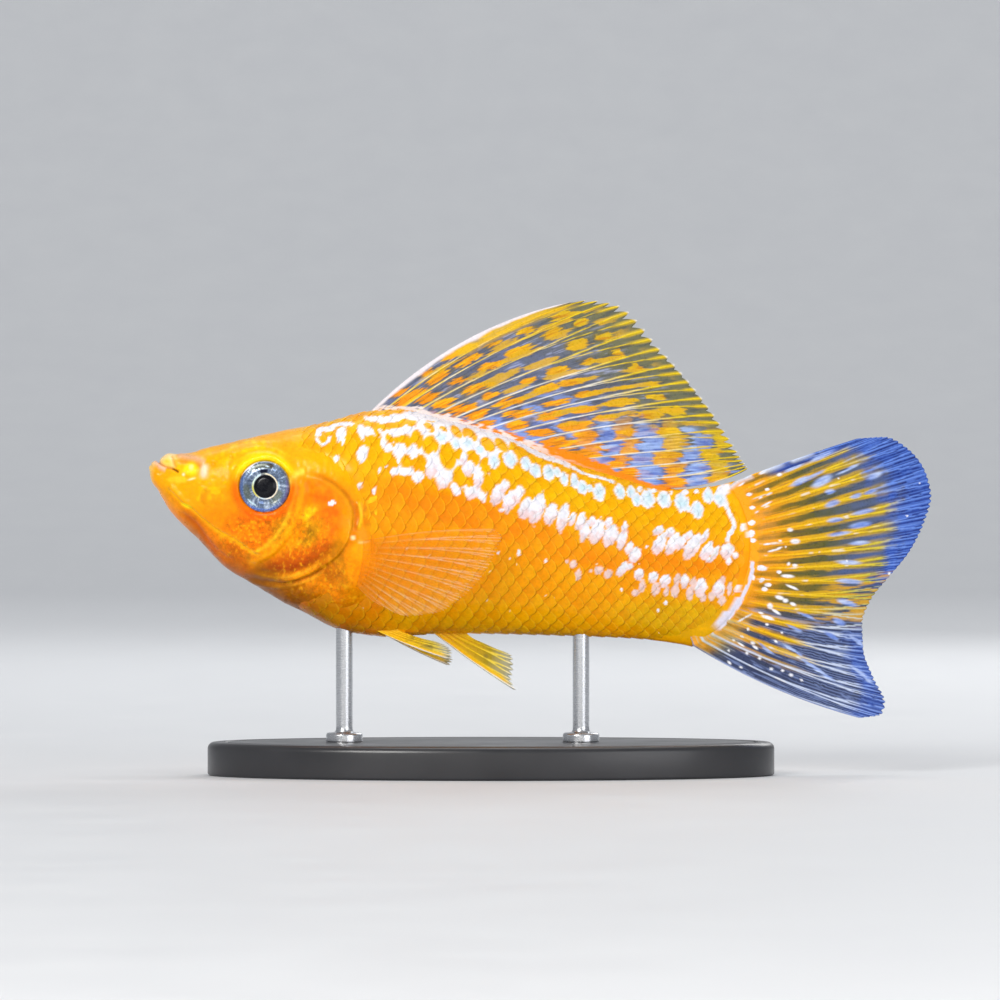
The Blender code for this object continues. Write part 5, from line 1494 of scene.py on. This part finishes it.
def small_paint(lead, seed):
    """A painter for a small fin with that colour along its first ray."""

    def paint(shape, near):
        t, s, x, z = (shape[k] for k in ("t", "s", "x", "z"))
        haze = wander(x, z, 0.9, seed)
        web = (0.0, 246, 172, 4), (0.35, 226, 172, 6), (0.7, 176, 150, 18), (1.0, 176, 178, 160)
        ray = (0.0, 255, 190, 20), (0.5, 255, 218, 34), (0.85, 250, 226, 90), (1.0, 250, 246, 226)
        p = Paint(graded(s + 0.06 * haze, *web), x, z).over(graded(s, *ray), step(0.3, 0.8, near))
        p.over((92, 84, 50), 0.5 * step(0.45, 0.8, wander(x, z, 1.1, seed + 1)) * step(0.3, 0.5, s))
        p.over((255, 204, 8), 0.85 * step(0.2, 0.12, t) * step(0.98, 0.85, s))
        return p.over(lead, step(0.075, 0.035, t + 0.01 * haze) * step(0.05, 0.25, s)).colour

    return paint


PELVIC_ROOTS = along_chain((-19.6, 17.3), (-17.0, 17.5))
PELVIC_MARGIN = along_chain((-11.0, 13.9), (-10.6, 14.7), (-11.2, 15.5), (-12.6, 16.1))


def pelvic_fin(where, drop, splay, flip, material):
    def place(t, s):
        root, (tip_x, tip_z) = PELVIC_ROOTS(t), PELVIC_MARGIN(t)
        tip = tip_x, tip_z - drop
        return swept(root, midway(root, tip, -0.2, -0.35), tip, s, (0.4, -0.8))

    def side(x, z):
        return -(1.5 + splay * np.maximum(0.0, x + 19.6))

    def thick(shape):
        return ribs(shape, 6, [(0.45, 0.25)], 0.9, 0.4, (0.32, 0.15), (0.24, 0.12), 0.14)

    sheet_fin(
        "pelvic_fin_fine_" + where, "pelvic_fin_" + where, material, place, side, thick,
        small_paint((250, 240, 222), 95), 81, 50, toothed(6, 2, 0.06), flip,
    )


ANAL_ROOTS = along_chain((-13.6, 17.6), (-9.5, 17.6))
ANAL_MARGIN = along_chain((-2.9, 10.0), (-3.5, 11.5), (-3.3, 12.7), (-3.4, 14.2), (-5.4, 15.2), (-7.2, 16.0))


def anal_fin(material):
    def place(t, s):
        root, tip = ANAL_ROOTS(t), ANAL_MARGIN(t)
        return swept(root, midway(root, tip, 0, -0.5), tip, s, (0, -0.8))

    def thick(shape):
        half, near = ribs(shape, 8, [(0.5, 0.25)], 0.9, 0.3, (0.34, 0.18), (0.24, 0.13), 0.14)
        return half + step(0.1, 0.03, shape["t"]) * (0.3 - 0.12 * shape["s"]), near

    sheet_fin(
        "anal_fin_fine", "anal_fin", material, place, lambda x, z: 0 * x, thick,
        small_paint((255, 250, 236), 97), 113, 70, toothed(8, 2, 0.05),
    )


# Eyes

PUPIL_AT = (0.2, -0.05)
# Each patch of the iris: its middle, in degrees and mm out, its half sizes in the same, its tone and its weight
IRIS = [
    (200, 2.15, 26, 0.45, (98, 106, 96), 0.85),
    (318, 2.05, 30, 0.4, (120, 130, 118), 0.85),
    (98, 2.5, 40, 0.34, (92, 98, 84), 0.9),
    (72, 2.6, 10, 0.22, (62, 52, 44), 0.9),
    (93, 1.78, 15, 0.3, (20, 26, 48), 1.0),
    (270, 2.85, 60, 0.2, (104, 134, 214), 0.85),
    (345, 2.85, 42, 0.22, (104, 100, 150), 0.7),
    (180, 2.8, 34, 0.22, (82, 114, 176), 0.7),
    (232, 2.45, 14, 0.12, (214, 240, 250), 1.0),
    (305, 2.3, 9, 0.1, (226, 232, 220), 0.95),
    (124, 2.32, 8, 0.12, (224, 242, 248), 1.0),
    (81, 2.42, 5, 0.09, (200, 222, 236), 1.0),
    (58, 2.3, 5, 0.1, (170, 200, 245), 1.0),
    (3, 1.8, 16, 0.08, (190, 226, 240), 0.9),
    (262, 1.95, 10, 0.16, (160, 190, 250), 0.8),
]
# The ring round the pupil, at these degrees
PUPIL_RING = [
    (0, 250, 236, 206), (70, 240, 226, 190), (110, 216, 238, 246), (160, 220, 236, 220), (190, 220, 214, 90),
    (235, 226, 212, 110), (262, 214, 236, 250), (300, 248, 236, 212), (360, 250, 236, 206),
]


EYE_GRID = 128, 70, 16  # steps round it, and from its middle to the rim and from there to its back


def eye(where, flip, material):
    """The eye as one closed lens: a domed pupil in a ring, an iris dished round it, and a rim."""
    columns, front, behind = EYE_GRID
    x, z = EYE_AT
    centre = [x, EYE_SUNK - float(flank(x, z)), z]
    widening = float(flank(x + 2, z) - flank(x - 2, z)) / 4
    rising = float(flank(x, z + 1.5) - flank(x, z - 1.5)) / 3
    facing = Vector((-EYE_FOLLOWS * widening, -1.0, -EYE_FOLLOWS * rising))
    turn = np.array(Vector((0, -1, 0)).rotation_difference(facing).to_matrix())
    radius = np.concatenate([np.linspace(0.0, 1.0, front) ** 0.9, np.cos(np.linspace(0, math.pi / 2, behind + 1)[1:])])
    radius, angle = np.meshgrid(radius, np.linspace(0, 2 * math.pi, columns, endpoint=False), indexing="ij")
    rows = len(radius)
    ahead = (np.arange(rows) < front)[:, None]
    r, deg = radius * EYE_RADIUS, np.degrees(angle) % 360
    u, v = r * np.cos(angle), r * np.sin(angle)
    across, rise = u - PUPIL_AT[0], v - PUPIL_AT[1]
    from_pupil, around_pupil = np.hypot(across, rise), np.arctan2(rise, across)
    pupil = 1.4 + 0.05 * np.maximum(0, np.cos(around_pupil - 1.75)) ** 6
    out = np.sqrt(np.maximum(1 - radius**2, 0)) * np.where(ahead, EYE_BULGE, -EYE_DEPTH)
    dish = 0.1 * step(pupil, pupil - 0.5, from_pupil) + 0.07 * bell(from_pupil, pupil + 0.08, 0.07)
    out = out + (dish - 0.2 * bell(r, 2.05, 0.5) + 0.03 * bell(r, 2.75, 0.12)) * ahead
    verts = (np.stack([u, -out, v], axis=-1).reshape(-1, 3) @ turn.T + centre) * [1, flip, 1]
    fibre = wander(np.cos(angle) * 14, np.sin(angle) * 14 + r * 0.7, 1.0, 101) + 0.5 * wander(u, v, 0.2, 102)
    p = Paint((124, 142, 168), u, v).over((72, 86, 112), 0.3 - 0.6 * fibre)
    p.over((196, 210, 228), 0.75 * step(0.15, 0.9, fibre))
    for at, away, wide, tall, tone, weight in IRIS:
        off = (deg - at + 180) % 360 - 180
        p.over(tone, weight * step(1.2, 0.6, np.hypot(off / wide, (r - away) / tall) + 0.25 * fibre))
    ring_edge = pupil + 0.13 + 0.08 * np.maximum(0, np.cos(around_pupil - 2.6))
    ring = step(pupil - 0.03, pupil + 0.01, from_pupil) * step(ring_edge + 0.03, ring_edge, from_pupil)
    p.over(graded(deg, *PUPIL_RING), ring)
    p.over((20, 26, 48), 0.75 * step(14, 6, np.abs(deg - 93)) * step(pupil + 0.3, pupil + 0.1, from_pupil))
    # Painted highlight: a pearly white arc along the upper left of the iris's rim.
    rim = 0.012 * np.abs(deg - 128)
    rim_highlight = step(2.68 + rim, 2.76 + rim, r) * step(95, 40, np.abs(deg - 120))
    p.over((252, 248, 244), rim_highlight)
    p.over((210, 200, 150), 0.6 * step(2.92, 3.02, r) * step(140, 90, deg))
    black = step(pupil, pupil - 0.06, from_pupil)
    p.over((3, 4, 14), black).over((20, 20, 24), 1.0 * ~ahead)
    metal = 0.3 * (1 - black) * (1 - ring) * (1 - rim_highlight) * ahead

    def with_poles(values):
        values = values.reshape(rows, columns, -1)
        return np.vstack([values[1:-1].reshape(-1, values.shape[2]), values[0, :1], values[-1, :1]])

    faces = ring_faces(rows - 2, columns).tolist() + pole_faces(rows - 2, columns)
    if flip < 0:
        faces = [f[::-1] for f in faces]
    flat = np.where(ahead, radius, 2 - radius) * 0.24
    uv = with_poles(np.stack([0.5 + flat * np.cos(angle), 0.5 + flat * np.sin(angle)], axis=-1))[np.concatenate(faces)]
    lay = with_poles(metal) * [1.0, 0.0, 0.0]
    verts, colours = with_poles(verts), with_poles(p.colour)
    piece("eye_fine_" + where, verts, faces, ["eye_" + where], material, colours, lay, uv)


# The stand

BASE_CENTRE_X = -6.0
BASE_LENGTH, BASE_WIDTH, BASE_HEIGHT, BASE_EDGE = 68.0, 36.0, 4.0, 0.8
BASE_GROOVE = [(-1.9, 0), (-2.0, -0.15), (-2.35, -0.15), (-2.45, 0), (-9.0, 0), (-14.0, 0)]
ROD_RADIUS, ROD_FOOT_RADIUS, ROD_FOOT_HEIGHT, ROD_IN_BODY = 1.0, 2.2, 0.8, 2.6
BEVEL = 0.35
RODS = {"stand_rod_front": -23.6, "stand_rod_rear": 4.8}


def turned(node, profile, centre, material, around, long=0.0, wide=0.0):
    """A profile of (distance out, height) carried round an upright axis, or round an oval of those half sizes."""
    angle = np.linspace(0, 2 * math.pi, around, endpoint=False)
    away, height = np.array(profile).T[:, :, None]
    x, y = centre + (long + away) * np.cos(angle), (wide + away) * np.sin(angle)
    faces = ring_faces(len(profile), around)[:, [0, 3, 2, 1]].tolist()
    last = (len(profile) - 1) * around
    faces += [list(range(around))[::-1], list(range(last, last + around))]
    verts = np.stack([x, y, height + 0 * x], axis=-1).reshape(-1, 3)
    obj = piece(node + "_fine", verts, faces, [node], material)
    obj.data.set_sharp_from_angle(angle=math.radians(40))


def rounded(away, height, radius, start, end):
    """Six points round a corner's bevel, whose middle is at that place."""
    angles = np.radians(np.linspace(start, end, 6))
    return [(away + radius * math.cos(a), height + radius * math.sin(a)) for a in angles]


def stand():
    """The oval base with its groove, and two rods with a foot each."""
    profile = [(-6.0, 0.0)] + rounded(-BEVEL, BEVEL, BEVEL, 270, 360)
    profile += rounded(-BASE_EDGE, BASE_HEIGHT - BASE_EDGE, BASE_EDGE, 0, 90)
    profile += [(away, BASE_HEIGHT + rise) for away, rise in BASE_GROOVE]
    turned("stand_base", profile, BASE_CENTRE_X, stand_material(), 160, BASE_LENGTH / 2, BASE_WIDTH / 2)
    steel = rod_material()
    for node, x in RODS.items():
        top = float(belly_height(x)) + ROD_IN_BODY
        foot, foot_top = BASE_HEIGHT - 0.02, BASE_HEIGHT + 0.3 + ROD_FOOT_HEIGHT
        profile = [(ROD_FOOT_RADIUS - 0.1, foot), (ROD_FOOT_RADIUS, foot + 0.1)]
        profile += rounded(ROD_FOOT_RADIUS - BEVEL, foot_top - BEVEL, BEVEL, 0, 80)
        profile += [(ROD_RADIUS + out, foot_top + up) for out, up in ((0.35, 0.02), (0.1, 0.12), (0, 0.35))]
        profile += [(ROD_RADIUS, z) for z in np.linspace(foot_top + 0.8, top - 0.2, 8)] + [(ROD_RADIUS - 0.2, top)]
        turned(node, profile, x, steel, 64)


def main():
    camera()
    stage()
    lights()
    skin()
    scaly = flesh_material("scales", 0.26, 0.1)
    for side, where in ((-1, "left"), (1, "right")):
        scales(side, -40.0, SCALE_SPLIT, "scales_front_" + where, scaly)
        scales(side, SCALE_SPLIT, 30.0, "scales_rear_" + where, scaly)
    clear, orange = fin_material("clear_fin"), fin_material("orange_fin", 0.32, 0.24)
    dorsal_fin(clear)
    tail_fin(clear)
    anal_fin(clear)
    for where, flip, drop, splay, spread in (("left", 1, 0.0, 0.13, 0.18), ("right", -1, 0.9, 0.1, 0.24)):
        pelvic_fin(where, drop, splay, flip, clear)
        pectoral_fin(where, spread, flip, orange)
    wet = eye_material()
    eye("left", 1, wet)
    eye("right", -1, wet)
    stand()


main()
